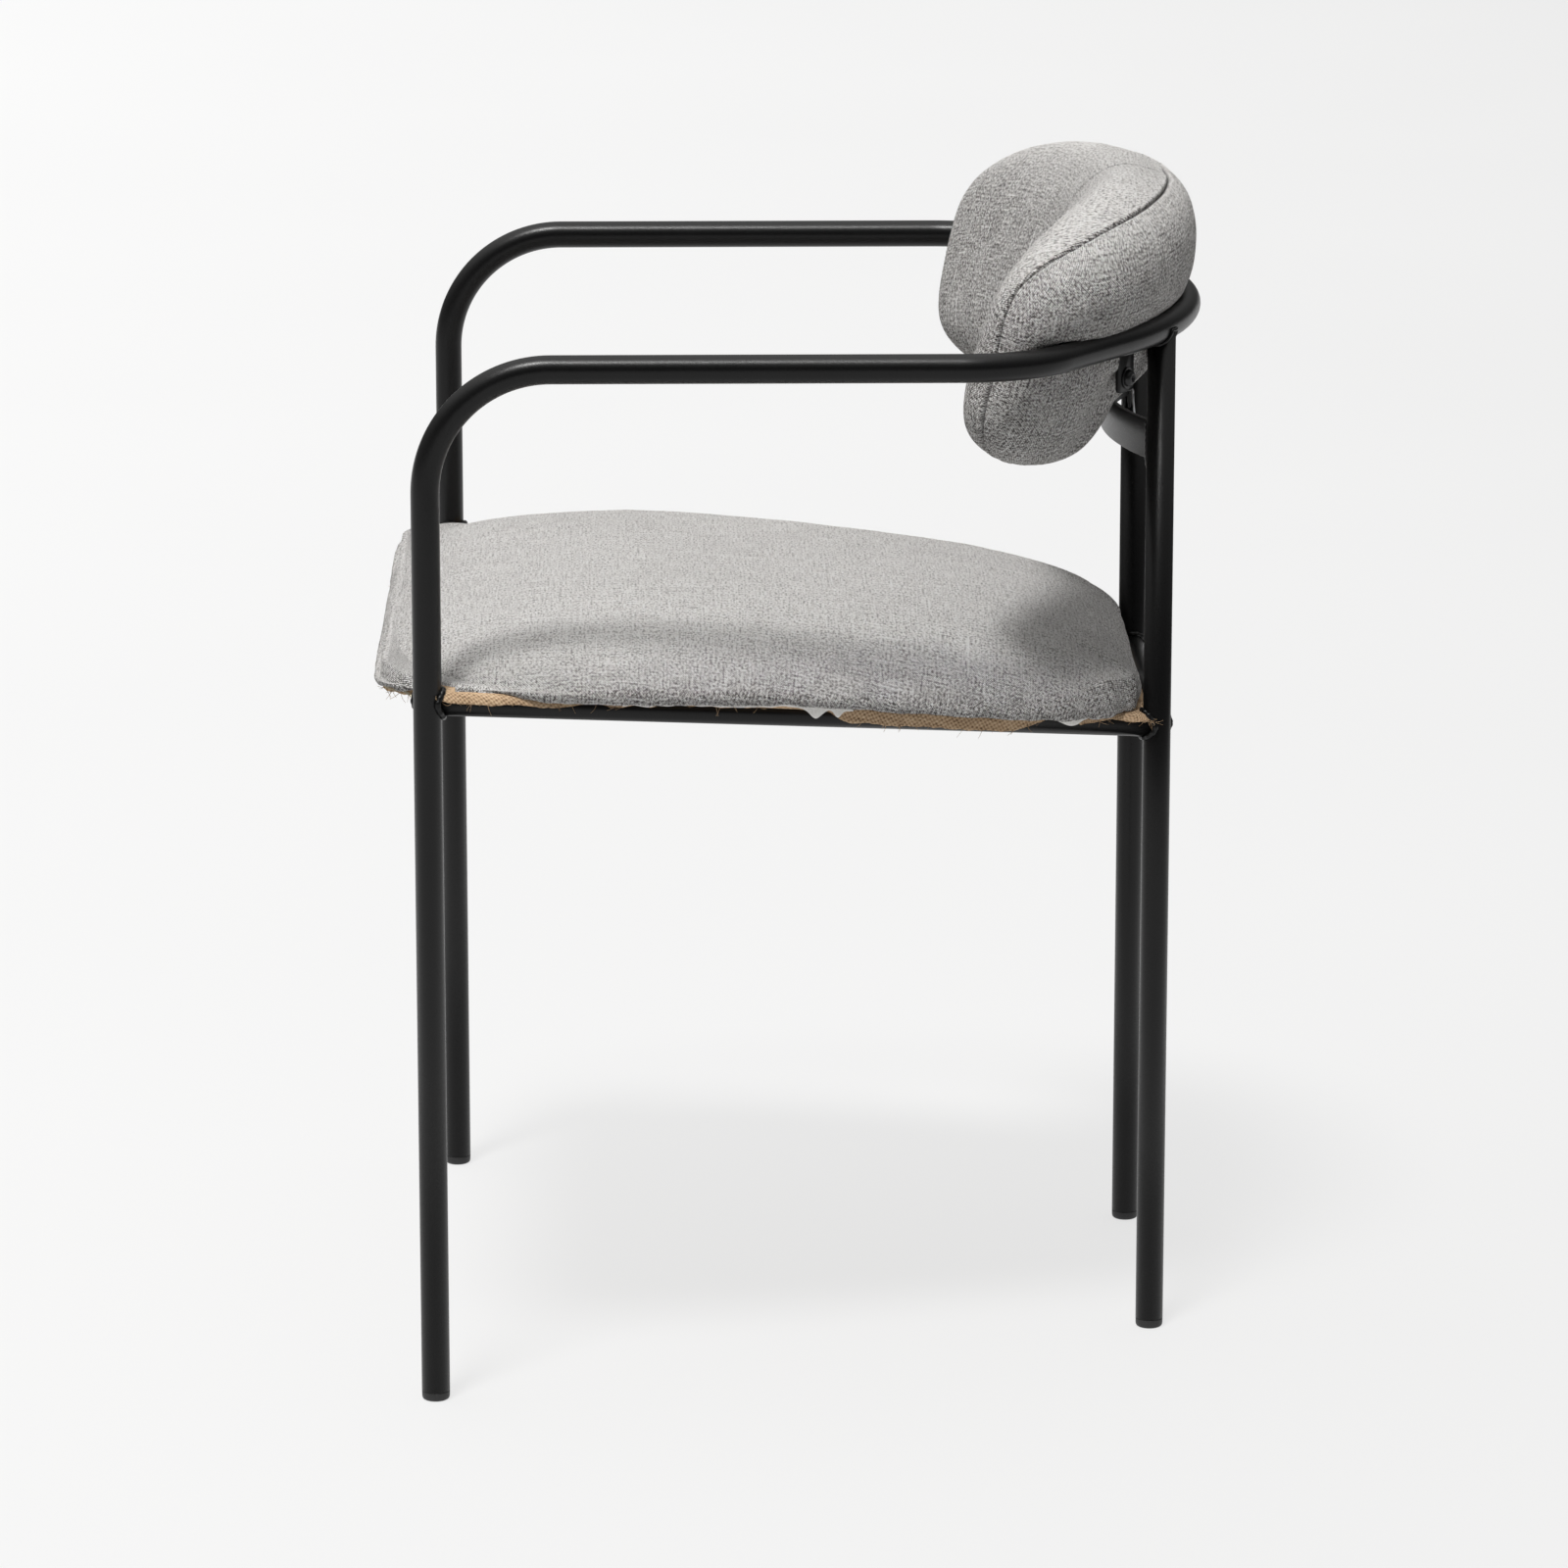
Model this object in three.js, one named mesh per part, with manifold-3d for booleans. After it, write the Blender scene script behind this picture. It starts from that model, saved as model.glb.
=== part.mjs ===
// Dining armchair with a bent steel tube frame, an upholstered seat and a curved back cushion.
// Millimetres, +Z up. The origin is on the floor under the middle of the chair's box, the front
// faces -Y and +X is the sitter's left. The frame is one continuous tube (front foot, arm, back,
// arm, front foot) with two rear legs, four seat rails and a back strap welded to it.

import * as THREE from 'three';
import { mergeVertices } from 'three/addons/utils/BufferGeometryUtils.js';
import Module from 'manifold-3d';

const wasm = await Module();
wasm.setup();

// ---- Driving dimensions -------------------------------------------------------------------

const GAP = 0.3; // clearance between neighbouring pieces

const TUBE_RADIUS = 9; // main tube, 18 mm outside
const TUBE_WALL = 1.5;
const RAIL_RADIUS = 8; // seat rails, 16 mm outside
const RAIL_WALL = 1.5;
const TUBE_SIDES = 16;
const BEND_STEP = 10; // degrees between stations round a bend

const FRONT_LEG = new THREE.Vector2(260, -228);
const REAR_LEG = new THREE.Vector2(120, 237.5);
const ARM_HEIGHT = 666; // axis of the arm and back tube
const ARM_BEND = 78; // bend radius from leg to arm, and at the back corners
const BACK_BEND = 297; // bend radius of the back
const BACK_AXIS_Y = 261.5; // tube axis at the middle of the back
const BACK_HALF_TURN = 35; // degrees that the back bend turns on each side

const GLIDE_HEIGHT = 6;
const RAIL_FRONT_HEIGHT = 456; // rail axis at the front legs
const RAIL_REAR_HEIGHT = 407; // rail axis at the rear legs

const STRAP_BOTTOM = 580;
const STRAP_HEIGHT = 25;
const STRAP_THICKNESS = 4;
const STRAP_BEND = 290;
const STRAP_FRONT_Y = 207; // front face of the strap at the middle

const SEAT_FRONT_Y = -265;
const SEAT_REAR_Y = 229;
const SEAT_HALF_WIDTH = 252;
const SEAT_SIDE_BREAK_Y = -106; // the sides run straight in front of this line and taper behind
const SEAT_REAR_HALF_WIDTH = 168;
const SEAT_CENTRE_Y = -25;
const SEAT_EDGE_HEIGHT = 5; // height of the widest line above the rails
const SEAT_CROWN_HEIGHT = 57; // highest point of the crown line down the middle, above the rails
const SEAT_CROWN_Y = 80;
const SEAT_CROWN_RADIUS = 2000;
const SEAT_LIP_Y = -212; // in front of this line the cover hangs lower
const SEAT_LIP_DROP = 7; // at the front edge
const SEAT_MEAN_RADIUS = 240;
const BOARD_THICKNESS = 9;
const BURLAP_THICKNESS = 0.8;
const COVER_THICKNESS = 2;

const BACK_PATH_RADIUS = 340; // the cushion's centre line, seen from above
const BACK_PATH_Y = 211; // centre line at the middle
const BACK_CENTRE_HEIGHT = 671;
const BACK_DROOP = 15; // how much lower the two ends hang
const BACK_HALF_LENGTH = 249;
const BACK_HALF_HEIGHT = 85.5;
const BACK_HALF_THICKNESS = 46;
const BACK_LOBE_SWELL = 0.13; // the ends are thicker by this share
const BACK_TILT = THREE.MathUtils.degToRad(18);
const BACK_SEAM_DEPTH = -4; // perimeter seam, behind the cushion's middle surface
const BACK_BOARD_FRONT = -5;
const BACK_BOARD_THICKNESS = 9;

const BOLT_RADIUS = 3;
const INSERT_RADIUS = 5;
const HEAD_RADIUS = 5.5;
const HEAD_HEIGHT = 3.3;
const PLATE = 3; // thickness of the welded tabs

// ---- Materials ----------------------------------------------------------------------------

const finish = (color, roughness, metalness = 0) =>
  new THREE.MeshStandardMaterial({ color, roughness, metalness });

const MATERIALS = {
  powderCoat: () => finish(0x1b1b1c, 0.42, 0.3),
  linen: () => finish(0xb9b5b0, 0.95),
  foam: () => finish(0xd8d2bd, 0.95),
  plywood: () => finish(0xb98f5e, 0.7),
  burlap: () => finish(0xa68d78, 0.95),
  glide: () => finish(0x161616, 0.6),
  blackSteel: () => finish(0x202022, 0.35, 0.8),
  zinc: () => finish(0x9fa1a3, 0.35, 0.9),
  label: () => finish(0xe4e6e8, 0.8),
};

// ---- Closed solids from geometries --------------------------------------------------------

// Turns a closed geometry into a solid. warp, where given, moves each vertex first.
function solid(geometry, warp = null) {
  const bare = geometry.clone();
  bare.deleteAttribute('normal');
  bare.deleteAttribute('uv');
  if (warp) {
    const at = bare.attributes.position;
    const point = new THREE.Vector3();
    for (let i = 0; i < at.count; i += 1) {
      warp(point.fromBufferAttribute(at, i), i);
      at.setXYZ(i, point.x, point.y, point.z);
    }
  }
  const welded = mergeVertices(bare, 1e-3);
  const order = welded.index ? welded.index.array : [...Array(welded.attributes.position.count).keys()];
  const corners = [];
  for (let i = 0; i < order.length; i += 3) {
    const [a, b, c] = [order[i], order[i + 1], order[i + 2]];
    if (a !== b && b !== c && c !== a) corners.push(a, b, c);
  }
  const positions = welded.attributes.position.array;
  if (signedVolume(positions, corners) < 0) corners.reverse();
  return new wasm.Manifold(new wasm.Mesh({
    numProp: 3,
    vertProperties: Float32Array.from(positions),
    triVerts: Uint32Array.from(corners),
  }));
}

function signedVolume(positions, corners) {
  const [a, b, c] = [new THREE.Vector3(), new THREE.Vector3(), new THREE.Vector3()];
  let volume = 0;
  for (let i = 0; i < corners.length; i += 3) {
    a.fromArray(positions, 3 * corners[i]);
    b.fromArray(positions, 3 * corners[i + 1]);
    c.fromArray(positions, 3 * corners[i + 2]);
    volume += a.dot(b.cross(c)) / 6;
  }
  return volume;
}

function geometryOf(body) {
  const mesh = body.getMesh();
  const geometry = new THREE.BufferGeometry();
  geometry.setAttribute('position', new THREE.BufferAttribute(mesh.vertProperties, 3));
  geometry.setIndex(new THREE.BufferAttribute(mesh.triVerts, 1));
  geometry.computeVertexNormals();
  return geometry;
}

const cut = (body, ...cutters) => cutters.reduce((left, cutter) => left.subtract(cutter), body);

// Cutting a thin shell can free small flakes: this keeps the piece itself.
const mainBody = (body) => body.decompose().reduce((most, next) => (
  next.volume() > most.volume() ? next : most
));

// ---- The assembly -------------------------------------------------------------------------

const chair = new THREE.Group();

// The seat's own frame lies on top of the side rails and slopes back with them.
const railFall = RAIL_FRONT_HEIGHT - RAIL_REAR_HEIGHT;
const railRun = REAR_LEG.y - FRONT_LEG.y;
const SEAT_SLOPE = Math.atan2(railFall, railRun);
const seatGroup = new THREE.Group();
seatGroup.position.z = RAIL_FRONT_HEIGHT + railFall * FRONT_LEG.y / railRun
  + RAIL_RADIUS / Math.cos(SEAT_SLOPE);
seatGroup.rotation.x = -SEAT_SLOPE;
chair.add(seatGroup);

function addPiece(name, body, material, group = chair) {
  const mesh = new THREE.Mesh(geometryOf(body), MATERIALS[material]());
  mesh.name = name;
  group.add(mesh);
  return mesh;
}

const SIDES = [['left', 1], ['right', -1]];

// ---- Tubes --------------------------------------------------------------------------------

// Straight runs joined by circular bends. A station stands at each end of a run and every
// BEND_STEP degrees round a bend; the curve's parameter counts stations, not length.
class BendRoute extends THREE.Curve {
  constructor(corners, bends = []) {
    super();
    this.stations = [];
    const last = corners.length - 1;
    const heading = corners.slice(1).map((corner, i) => corner.clone().sub(corners[i]).normalize());
    this.addStation(corners[0], heading[0]);
    for (let i = 1; i < last; i += 1) this.addBend(corners[i], heading[i - 1], heading[i], bends[i - 1]);
    this.addStation(corners[last], heading[last - 1]);
  }

  addStation(point, tangent) {
    this.stations.push({ point: point.clone(), tangent: tangent.clone() });
  }

  addBend(corner, before, after, radius) {
    const turn = before.angleTo(after);
    const axis = before.clone().cross(after).normalize();
    const start = corner.clone().addScaledVector(before, -radius * Math.tan(turn / 2));
    const centre = start.clone().addScaledVector(axis.clone().cross(before), radius);
    const count = Math.ceil(THREE.MathUtils.radToDeg(turn) / BEND_STEP);
    for (let i = 0; i <= count; i += 1) {
      const angle = turn * i / count;
      const arm = start.clone().sub(centre).applyAxisAngle(axis, angle);
      this.addStation(centre.clone().add(arm), before.clone().applyAxisAngle(axis, angle));
    }
  }

  get steps() { return this.stations.length - 1; }

  stationAt(u) { return this.stations[Math.round(u * this.steps)]; }

  getPoint(t) { return this.stationAt(t).point.clone(); }

  getPointAt(u) { return this.getPoint(u); }

  getTangentAt(u) { return this.stationAt(u).tangent.clone(); }
}

function circlePoints(radius, sides = TUBE_SIDES) {
  return Array.from({ length: sides }, (_, i) => new THREE.Vector2(
    radius * Math.cos(2 * Math.PI * i / sides),
    radius * Math.sin(2 * Math.PI * i / sides),
  ));
}

function tube(route, radius, wall = 0) {
  const shape = new THREE.Shape(circlePoints(radius));
  if (wall > 0) shape.holes.push(new THREE.Path(circlePoints(radius - wall)));
  return solid(new THREE.ExtrudeGeometry(shape, {
    steps: route.steps, extrudePath: route, bevelEnabled: false,
  }));
}

// A solid bar that clears a tube of this radius by gap, for shaping whatever meets the tube.
const clearTube = (route, radius, gap = GAP) => tube(route, (radius + gap) / Math.cos(Math.PI / TUBE_SIDES));

const footZ = GLIDE_HEIGHT + GAP;
const backSlope = Math.tan(THREE.MathUtils.degToRad(BACK_HALF_TURN));
const backApexY = BACK_AXIS_Y
  + BACK_BEND * (1 / Math.cos(THREE.MathUtils.degToRad(BACK_HALF_TURN)) - 1);
const cornerY = backApexY - FRONT_LEG.x * backSlope;

const loopRoute = new BendRoute([
  new THREE.Vector3(FRONT_LEG.x, FRONT_LEG.y, footZ),
  new THREE.Vector3(FRONT_LEG.x, FRONT_LEG.y, ARM_HEIGHT),
  new THREE.Vector3(FRONT_LEG.x, cornerY, ARM_HEIGHT),
  new THREE.Vector3(0, backApexY, ARM_HEIGHT),
  new THREE.Vector3(-FRONT_LEG.x, cornerY, ARM_HEIGHT),
  new THREE.Vector3(-FRONT_LEG.x, FRONT_LEG.y, ARM_HEIGHT),
  new THREE.Vector3(-FRONT_LEG.x, FRONT_LEG.y, footZ),
], [ARM_BEND, ARM_BEND, BACK_BEND, ARM_BEND, ARM_BEND]);

const loopClearance = clearTube(loopRoute, TUBE_RADIUS);
addPiece('loop_tube', tube(loopRoute, TUBE_RADIUS, TUBE_WALL), 'powderCoat');

const straight = (from, to) => new BendRoute([from, to]);
const rearLegRoute = (side) => straight(
  new THREE.Vector3(side * REAR_LEG.x, REAR_LEG.y, footZ),
  new THREE.Vector3(side * REAR_LEG.x, REAR_LEG.y, ARM_HEIGHT),
);
const rearLegClearance = SIDES.map(([, side]) => clearTube(rearLegRoute(side), TUBE_RADIUS));
const frameClearance = [loopClearance, ...rearLegClearance];

for (const [word, side] of SIDES) {
  const leg = tube(rearLegRoute(side), TUBE_RADIUS, TUBE_WALL);
  addPiece(`rear_leg_${word}`, cut(leg, loopClearance), 'powderCoat');
}

const frontJoint = (side) => new THREE.Vector3(side * FRONT_LEG.x, FRONT_LEG.y, RAIL_FRONT_HEIGHT);
const rearJoint = (side) => new THREE.Vector3(side * REAR_LEG.x, REAR_LEG.y, RAIL_REAR_HEIGHT);

const sideRailRoute = (side) => straight(frontJoint(side), rearJoint(side));

function addRail(name, route, clearances) {
  addPiece(name, cut(tube(route, RAIL_RADIUS, RAIL_WALL), ...clearances), 'powderCoat');
}
for (const [word, side] of SIDES) addRail(`seat_rail_${word}`, sideRailRoute(side), frameClearance);

// The cross rails run level between the legs and are coped to the side rails as well.
const sideRailClearance = SIDES.map(([, side]) => clearTube(sideRailRoute(side), RAIL_RADIUS));
for (const [name, joint] of [['seat_front_rail', frontJoint], ['seat_rear_rail', rearJoint]]) {
  addRail(name, straight(joint(-1), joint(1)), [...frameClearance, ...sideRailClearance]);
}

// ---- Turned pieces ------------------------------------------------------------------------

// A body turned about its own Z axis from a closed profile of [radius, height] pairs.
function turned(profile, sides = 12) {
  const points = profile.map(([radius, height]) => new THREE.Vector2(radius, height));
  return new THREE.LatheGeometry(points, sides).rotateX(Math.PI / 2);
}

const rod = (radius, from, to) => turned([[0, from], [radius, from], [radius, to], [0, to]]);

const sleeve = (inner, outer, from, to) =>
  turned([[inner, from], [outer, from], [outer, to], [inner, to], [inner, from]]);

// A button-head screw: the head is below the origin, the shank runs up +Z.
const screw = (shankRadius, headRadius, length) => turned([
  [0, -HEAD_HEIGHT], [0.6 * headRadius, -HEAD_HEIGHT], [0.92 * headRadius, -0.6 * HEAD_HEIGHT],
  [headRadius, 0], [shankRadius, 0], [shankRadius, length - 1], [shankRadius - 0.8, length], [0, length],
]);

// Plastic foot glide: a rounded cap under the tube and a plug up inside it.
const GLIDE_PLUG = TUBE_RADIUS - TUBE_WALL - GAP;
const glide = turned([
  [0, 0], [TUBE_RADIUS - 2.5, 0], [TUBE_RADIUS - 0.8, 0.8], [TUBE_RADIUS, 2.5],
  [TUBE_RADIUS, GLIDE_HEIGHT], [GLIDE_PLUG, GLIDE_HEIGHT], [GLIDE_PLUG, GLIDE_HEIGHT + 12],
  [GLIDE_PLUG - 1, GLIDE_HEIGHT + 14], [0, GLIDE_HEIGHT + 14],
], TUBE_SIDES);

for (const [end, foot] of [['front', FRONT_LEG], ['rear', REAR_LEG]]) {
  for (const [word, side] of SIDES) {
    addPiece(`foot_glide_${end}_${word}`, solid(glide), 'glide').position.set(side * foot.x, foot.y, 0);
  }
}

// ---- Back strap ---------------------------------------------------------------------------

// An arc of flat bar standing on edge between the rear legs, bowed towards the cushion.
function strapBand(nearFace, farFace, bottom, top) {
  const centreY = STRAP_FRONT_Y + STRAP_BEND;
  const reach = Math.asin(REAR_LEG.x / STRAP_BEND);
  const shape = new THREE.Shape();
  shape.absarc(0, centreY, STRAP_BEND - nearFace, -Math.PI / 2 - reach, -Math.PI / 2 + reach, false);
  shape.absarc(0, centreY, STRAP_BEND - farFace, -Math.PI / 2 + reach, -Math.PI / 2 - reach, true);
  const bar = new THREE.ExtrudeGeometry(shape, { depth: top - bottom, bevelEnabled: false, curveSegments: 8 });
  return bar.translate(0, 0, bottom);
}
const strapTop = STRAP_BOTTOM + STRAP_HEIGHT;
const STRAP_SCREW_X = 25;
const STRAP_SCREW_Z = STRAP_BOTTOM + 18;
const STRAP_SCREW_RADIUS = 2;
const STRAP_SCREW_LENGTH = 22;
const STRAP_HEAD_Y = STRAP_FRONT_Y + STRAP_THICKNESS + 1.9; // under the head, clear of the bow
const toFront = (geometry) => geometry.rotateX(Math.PI / 2); // turns +Z to -Y

const strapHole = (side) => solid(
  toFront(rod(STRAP_SCREW_RADIUS + GAP, -40, STRAP_SCREW_LENGTH + 3))
    .translate(side * STRAP_SCREW_X, STRAP_HEAD_Y, STRAP_SCREW_Z),
);
const strapHoles = SIDES.map(([, side]) => strapHole(side));
const strap = solid(strapBand(0, STRAP_THICKNESS, STRAP_BOTTOM, strapTop));
addPiece('back_strap', cut(strap, ...rearLegClearance, ...strapHoles), 'powderCoat');

for (const [word, side] of SIDES) {
  addPiece(
    `strap_screw_${word}`,
    solid(toFront(screw(STRAP_SCREW_RADIUS, 4, STRAP_SCREW_LENGTH))),
    'blackSteel',
  ).position.set(side * STRAP_SCREW_X, STRAP_HEAD_Y, STRAP_SCREW_Z);
}

// ---- Back tabs ----------------------------------------------------------------------------

// Each tab hangs under the back tube and takes one bolt into the cushion's board.
const TAB_X = 155;
const TAB_WIDTH = 20;
const TAB_BOTTOM = 631;
const BOLT_HEIGHT = 640;
const BOLT_LENGTH = 34;
const WASHER = 1.2;
const loopCentreY = BACK_AXIS_Y - BACK_BEND;
const tabTurn = Math.asin(TAB_X / BACK_BEND);
const TAB_RADIUS = BACK_BEND - 7; // the tab's middle, from the centre of the back bend

// Places a geometry that points along -Y at the middle of the back, round at a tab.
const atTab = (geometry, side) => geometry.rotateZ(-side * tabTurn).translate(0, loopCentreY, 0);
const tabBox = (side) => solid(atTab(
  new THREE.BoxGeometry(TAB_WIDTH, PLATE, ARM_HEIGHT - TAB_BOTTOM)
    .translate(0, TAB_RADIUS, (ARM_HEIGHT + TAB_BOTTOM) / 2),
  side,
));
const alongBolt = (geometry, side, outward = 0) => solid(atTab(
  toFront(geometry).translate(0, TAB_RADIUS + PLATE / 2 + outward, BOLT_HEIGHT),
  side,
));
const insertFrom = 24;
const insertTo = BOLT_LENGTH + 3;
const boltHoles = SIDES.map(([, side]) => alongBolt(rod(BOLT_RADIUS + GAP, -2, BOLT_LENGTH + 4), side));
const insertHoles = SIDES.map(([, side]) => alongBolt(
  rod(INSERT_RADIUS + GAP, insertFrom - GAP, insertTo + GAP),
  side,
));

SIDES.forEach(([word, side], i) => {
  addPiece(`back_tab_${word}`, cut(tabBox(side), loopClearance, boltHoles[i]), 'powderCoat');
  addPiece(
    `back_washer_${word}`,
    alongBolt(sleeve(BOLT_RADIUS + GAP, HEAD_RADIUS + 1.5, -GAP - WASHER, -GAP), side),
    'blackSteel',
  );
  addPiece(
    `back_bolt_${word}`,
    alongBolt(screw(BOLT_RADIUS, HEAD_RADIUS, BOLT_LENGTH), side, WASHER + 2 * GAP),
    'blackSteel',
  );
  addPiece(
    `back_insert_${word}`,
    alongBolt(sleeve(BOLT_RADIUS + GAP, INSERT_RADIUS, insertFrom, insertTo), side),
    'zinc',
  );
});

// ---- Back cushion -------------------------------------------------------------------------

// Bends a point given as length along the cushion, height up its slope and depth in front of
// its middle surface round to its place.
function toBack(point) {
  const { x: length, y: depth, z: height } = point;
  const droop = BACK_DROOP * (length / BACK_HALF_LENGTH) ** 2;
  const outward = height * Math.sin(BACK_TILT) - depth * Math.cos(BACK_TILT);
  const angle = length / BACK_PATH_RADIUS;
  const radius = BACK_PATH_RADIUS + outward;
  return point.set(
    radius * Math.sin(angle),
    BACK_PATH_Y - BACK_PATH_RADIUS + radius * Math.cos(angle),
    BACK_CENTRE_HEIGHT + height * Math.cos(BACK_TILT) + depth * Math.sin(BACK_TILT) - droop,
  );
}

const BACK_OUTLINE_POWER = 3.5; // 2 would be an ellipse, larger is squarer
const BACK_SECTION_POWER = 2.7;
const BACK_SEGMENTS = 32;

// Blows a unit disc of [radius, depth] rings up to the cushion's outline, less an inset.
function inflate(inset) {
  return (point) => {
    const reach = Math.hypot(point.x, point.z);
    if (reach > 0) {
      const power = BACK_OUTLINE_POWER;
      const squarer = (Math.abs(point.x / reach) ** power + Math.abs(point.z / reach) ** power) ** (-1 / power);
      point.x *= squarer * (BACK_HALF_LENGTH - inset);
      point.z *= squarer * (BACK_HALF_HEIGHT - inset);
      point.y *= 1 + BACK_LOBE_SWELL * (point.x / BACK_HALF_LENGTH) ** 2;
    }
    return toBack(point);
  };
}

// The cushion's full shape, less an inset on every side.
function backForm(inset) {
  const rings = 6;
  const profile = [];
  for (let i = -rings; i <= rings; i += 1) {
    const turn = Math.PI / 2 * i / rings;
    const radius = Math.cos(turn) ** (2 / BACK_SECTION_POWER);
    const depth = Math.abs(Math.sin(turn)) ** (2 / BACK_SECTION_POWER) * Math.sign(i);
    const onAxis = Math.abs(i) === rings;
    profile.push(new THREE.Vector2(onAxis ? 0 : radius, depth * (BACK_HALF_THICKNESS - inset)));
  }
  return solid(new THREE.LatheGeometry(profile, BACK_SEGMENTS), inflate(inset));
}

// A curved slab that holds everything between two depths.
function backSlab(from, to) {
  const block = new THREE.BoxGeometry(
    2 * BACK_HALF_LENGTH + 60, to - from, 2 * BACK_HALF_HEIGHT + 60, 20, 1, 1,
  ).translate(0, (from + to) / 2, 0);
  return solid(block, toBack);
}

// The tube lies in a groove round the cushion's back, and the strap presses into it from behind.
const strapRoom = (gap) => solid(strapBand(
  -gap, STRAP_THICKNESS + 40, STRAP_BOTTOM - 20, strapTop + gap,
));
const TAB_ROOM_DEPTH = 30;
const tabRoom = (gap) => SIDES.map(([, side]) => solid(atTab(
  new THREE.BoxGeometry(TAB_WIDTH + 2 * gap, TAB_ROOM_DEPTH, ARM_HEIGHT - TAB_BOTTOM + 2 * gap)
    .translate(0, TAB_RADIUS - PLATE / 2 - gap + TAB_ROOM_DEPTH / 2, (ARM_HEIGHT + TAB_BOTTOM) / 2),
  side,
)));
const dents = (gap) => [
  clearTube(loopRoute, TUBE_RADIUS, gap),
  ...SIDES.map(([, side]) => clearTube(rearLegRoute(side), TUBE_RADIUS, gap)),
  strapRoom(gap),
  ...tabRoom(gap),
];
const outside = cut(backForm(0), ...dents(GAP));
const inside = mainBody(cut(backForm(COVER_THICKNESS), ...dents(COVER_THICKNESS + GAP)));
const shell = cut(outside, inside);
const through = [...boltHoles, ...strapHoles];

const frontShell = cut(shell.intersect(backSlab(BACK_SEAM_DEPTH + GAP, 90)), ...through);
for (const [word, side] of SIDES) {
  const half = solid(new THREE.BoxGeometry(400, 400, 400).translate(side * (200 + GAP / 2), 150, 670));
  addPiece(`back_cover_front_${word}`, mainBody(frontShell.intersect(half)), 'linen');
}
const rearShell = cut(shell.intersect(backSlab(-90, BACK_SEAM_DEPTH)), ...through);
addPiece('back_cover_rear', mainBody(rearShell), 'linen');

const filling = cut(
  backForm(COVER_THICKNESS + GAP), ...dents(COVER_THICKNESS + 2 * GAP), ...through, ...insertHoles,
);
const boardRear = BACK_BOARD_FRONT - BACK_BOARD_THICKNESS;
addPiece('back_foam_front', mainBody(filling.intersect(backSlab(BACK_BOARD_FRONT + GAP, 90))), 'foam');
addPiece('back_foam_rear', mainBody(filling.intersect(backSlab(-90, boardRear - GAP))), 'foam');
const boardForm = backForm(COVER_THICKNESS + 6);
const board = cut(
  boardForm.intersect(backSlab(boardRear, BACK_BOARD_FRONT)),
  ...dents(COVER_THICKNESS + 2 * GAP), ...through, ...insertHoles,
);
addPiece('back_board', mainBody(board), 'plywood');

// ---- Seat ---------------------------------------------------------------------------------

// Plan of the seat at its widest, with rounded corners.
const outlineRoute = new BendRoute([
  new THREE.Vector3(0, SEAT_FRONT_Y, 0),
  new THREE.Vector3(SEAT_HALF_WIDTH, SEAT_FRONT_Y, 0),
  new THREE.Vector3(SEAT_HALF_WIDTH, SEAT_SIDE_BREAK_Y, 0),
  new THREE.Vector3(SEAT_REAR_HALF_WIDTH, SEAT_REAR_Y, 0),
  new THREE.Vector3(0, SEAT_REAR_Y, 0),
], [62, 450, 110]);
const rightHalf = outlineRoute.stations.map(({ point }) => point);
const mirrored = rightHalf.slice(1, -1).reverse().map((point) => new THREE.Vector3(-point.x, point.y, 0));
const seatOutline = [...rightHalf, ...mirrored];

// How far the front lip hangs below the rest of the edge.
const lipDrop = (y) => SEAT_LIP_DROP
  * THREE.MathUtils.clamp((SEAT_LIP_Y - y) / (SEAT_LIP_Y - SEAT_FRONT_Y), 0, 1) ** 2;

// Half width of the seat on a line across it, its corners left square.
const halfWidthAt = (y) => SEAT_HALF_WIDTH + (SEAT_REAR_HALF_WIDTH - SEAT_HALF_WIDTH)
  * Math.max(0, (y - SEAT_SIDE_BREAK_Y) / (SEAT_REAR_Y - SEAT_SIDE_BREAK_Y));

// Height of the seat's top surface: a crown line down the middle, falling away to the edge
// in a long curve at the front and the sides and a shorter one at the rear.
function topHeight(x, y) {
  const acrossEdge = Math.abs(x / halfWidthAt(y));
  const middleY = (SEAT_FRONT_Y + SEAT_REAR_Y) / 2;
  const along = (y - middleY) / ((SEAT_REAR_Y - SEAT_FRONT_Y) / 2);
  const across = Math.max(0, 1 - acrossEdge ** 3.4);
  const crown = SEAT_CROWN_HEIGHT - (y - SEAT_CROWN_Y) ** 2 / (2 * SEAT_CROWN_RADIUS);
  const fall = along < 0
    ? Math.max(0, across * (1 - Math.abs(along) ** 3.4)) ** 0.68
    : across ** 0.68 * Math.max(0, 1 - along ** 6) ** 0.5;
  const edge = SEAT_EDGE_HEIGHT - lipDrop(y);
  return edge + (crown - edge) * fall;
}

const inShares = (length) => length / SEAT_MEAN_RADIUS;
const TOP_SHARES = [0, 0.2, 0.4, 0.55, 0.7, 0.8, 0.88, 0.94, 0.98, 1];

// A ring of points a share of the way from the seat's centre to its outline.
const towardsRim = (rim, share, height) => new THREE.Vector3(
  share * rim.x,
  SEAT_CENTRE_Y + share * (rim.y - SEAT_CENTRE_Y),
  height,
);
const level = (share, height) => (rim) => towardsRim(rim, share, height);
const hanging = (share, height) => (rim) => {
  const point = towardsRim(rim, share, height);
  return point.setZ(height - lipDrop(point.y));
};

// A ring on the top surface, moved in and down by an inset.
const onTop = (share, inset = 0) => (rim) => {
  const { x, y } = towardsRim(rim, share, 0);
  return towardsRim(rim, share * (1 - inShares(inset)), topHeight(x, y) - inset);
};

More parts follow.
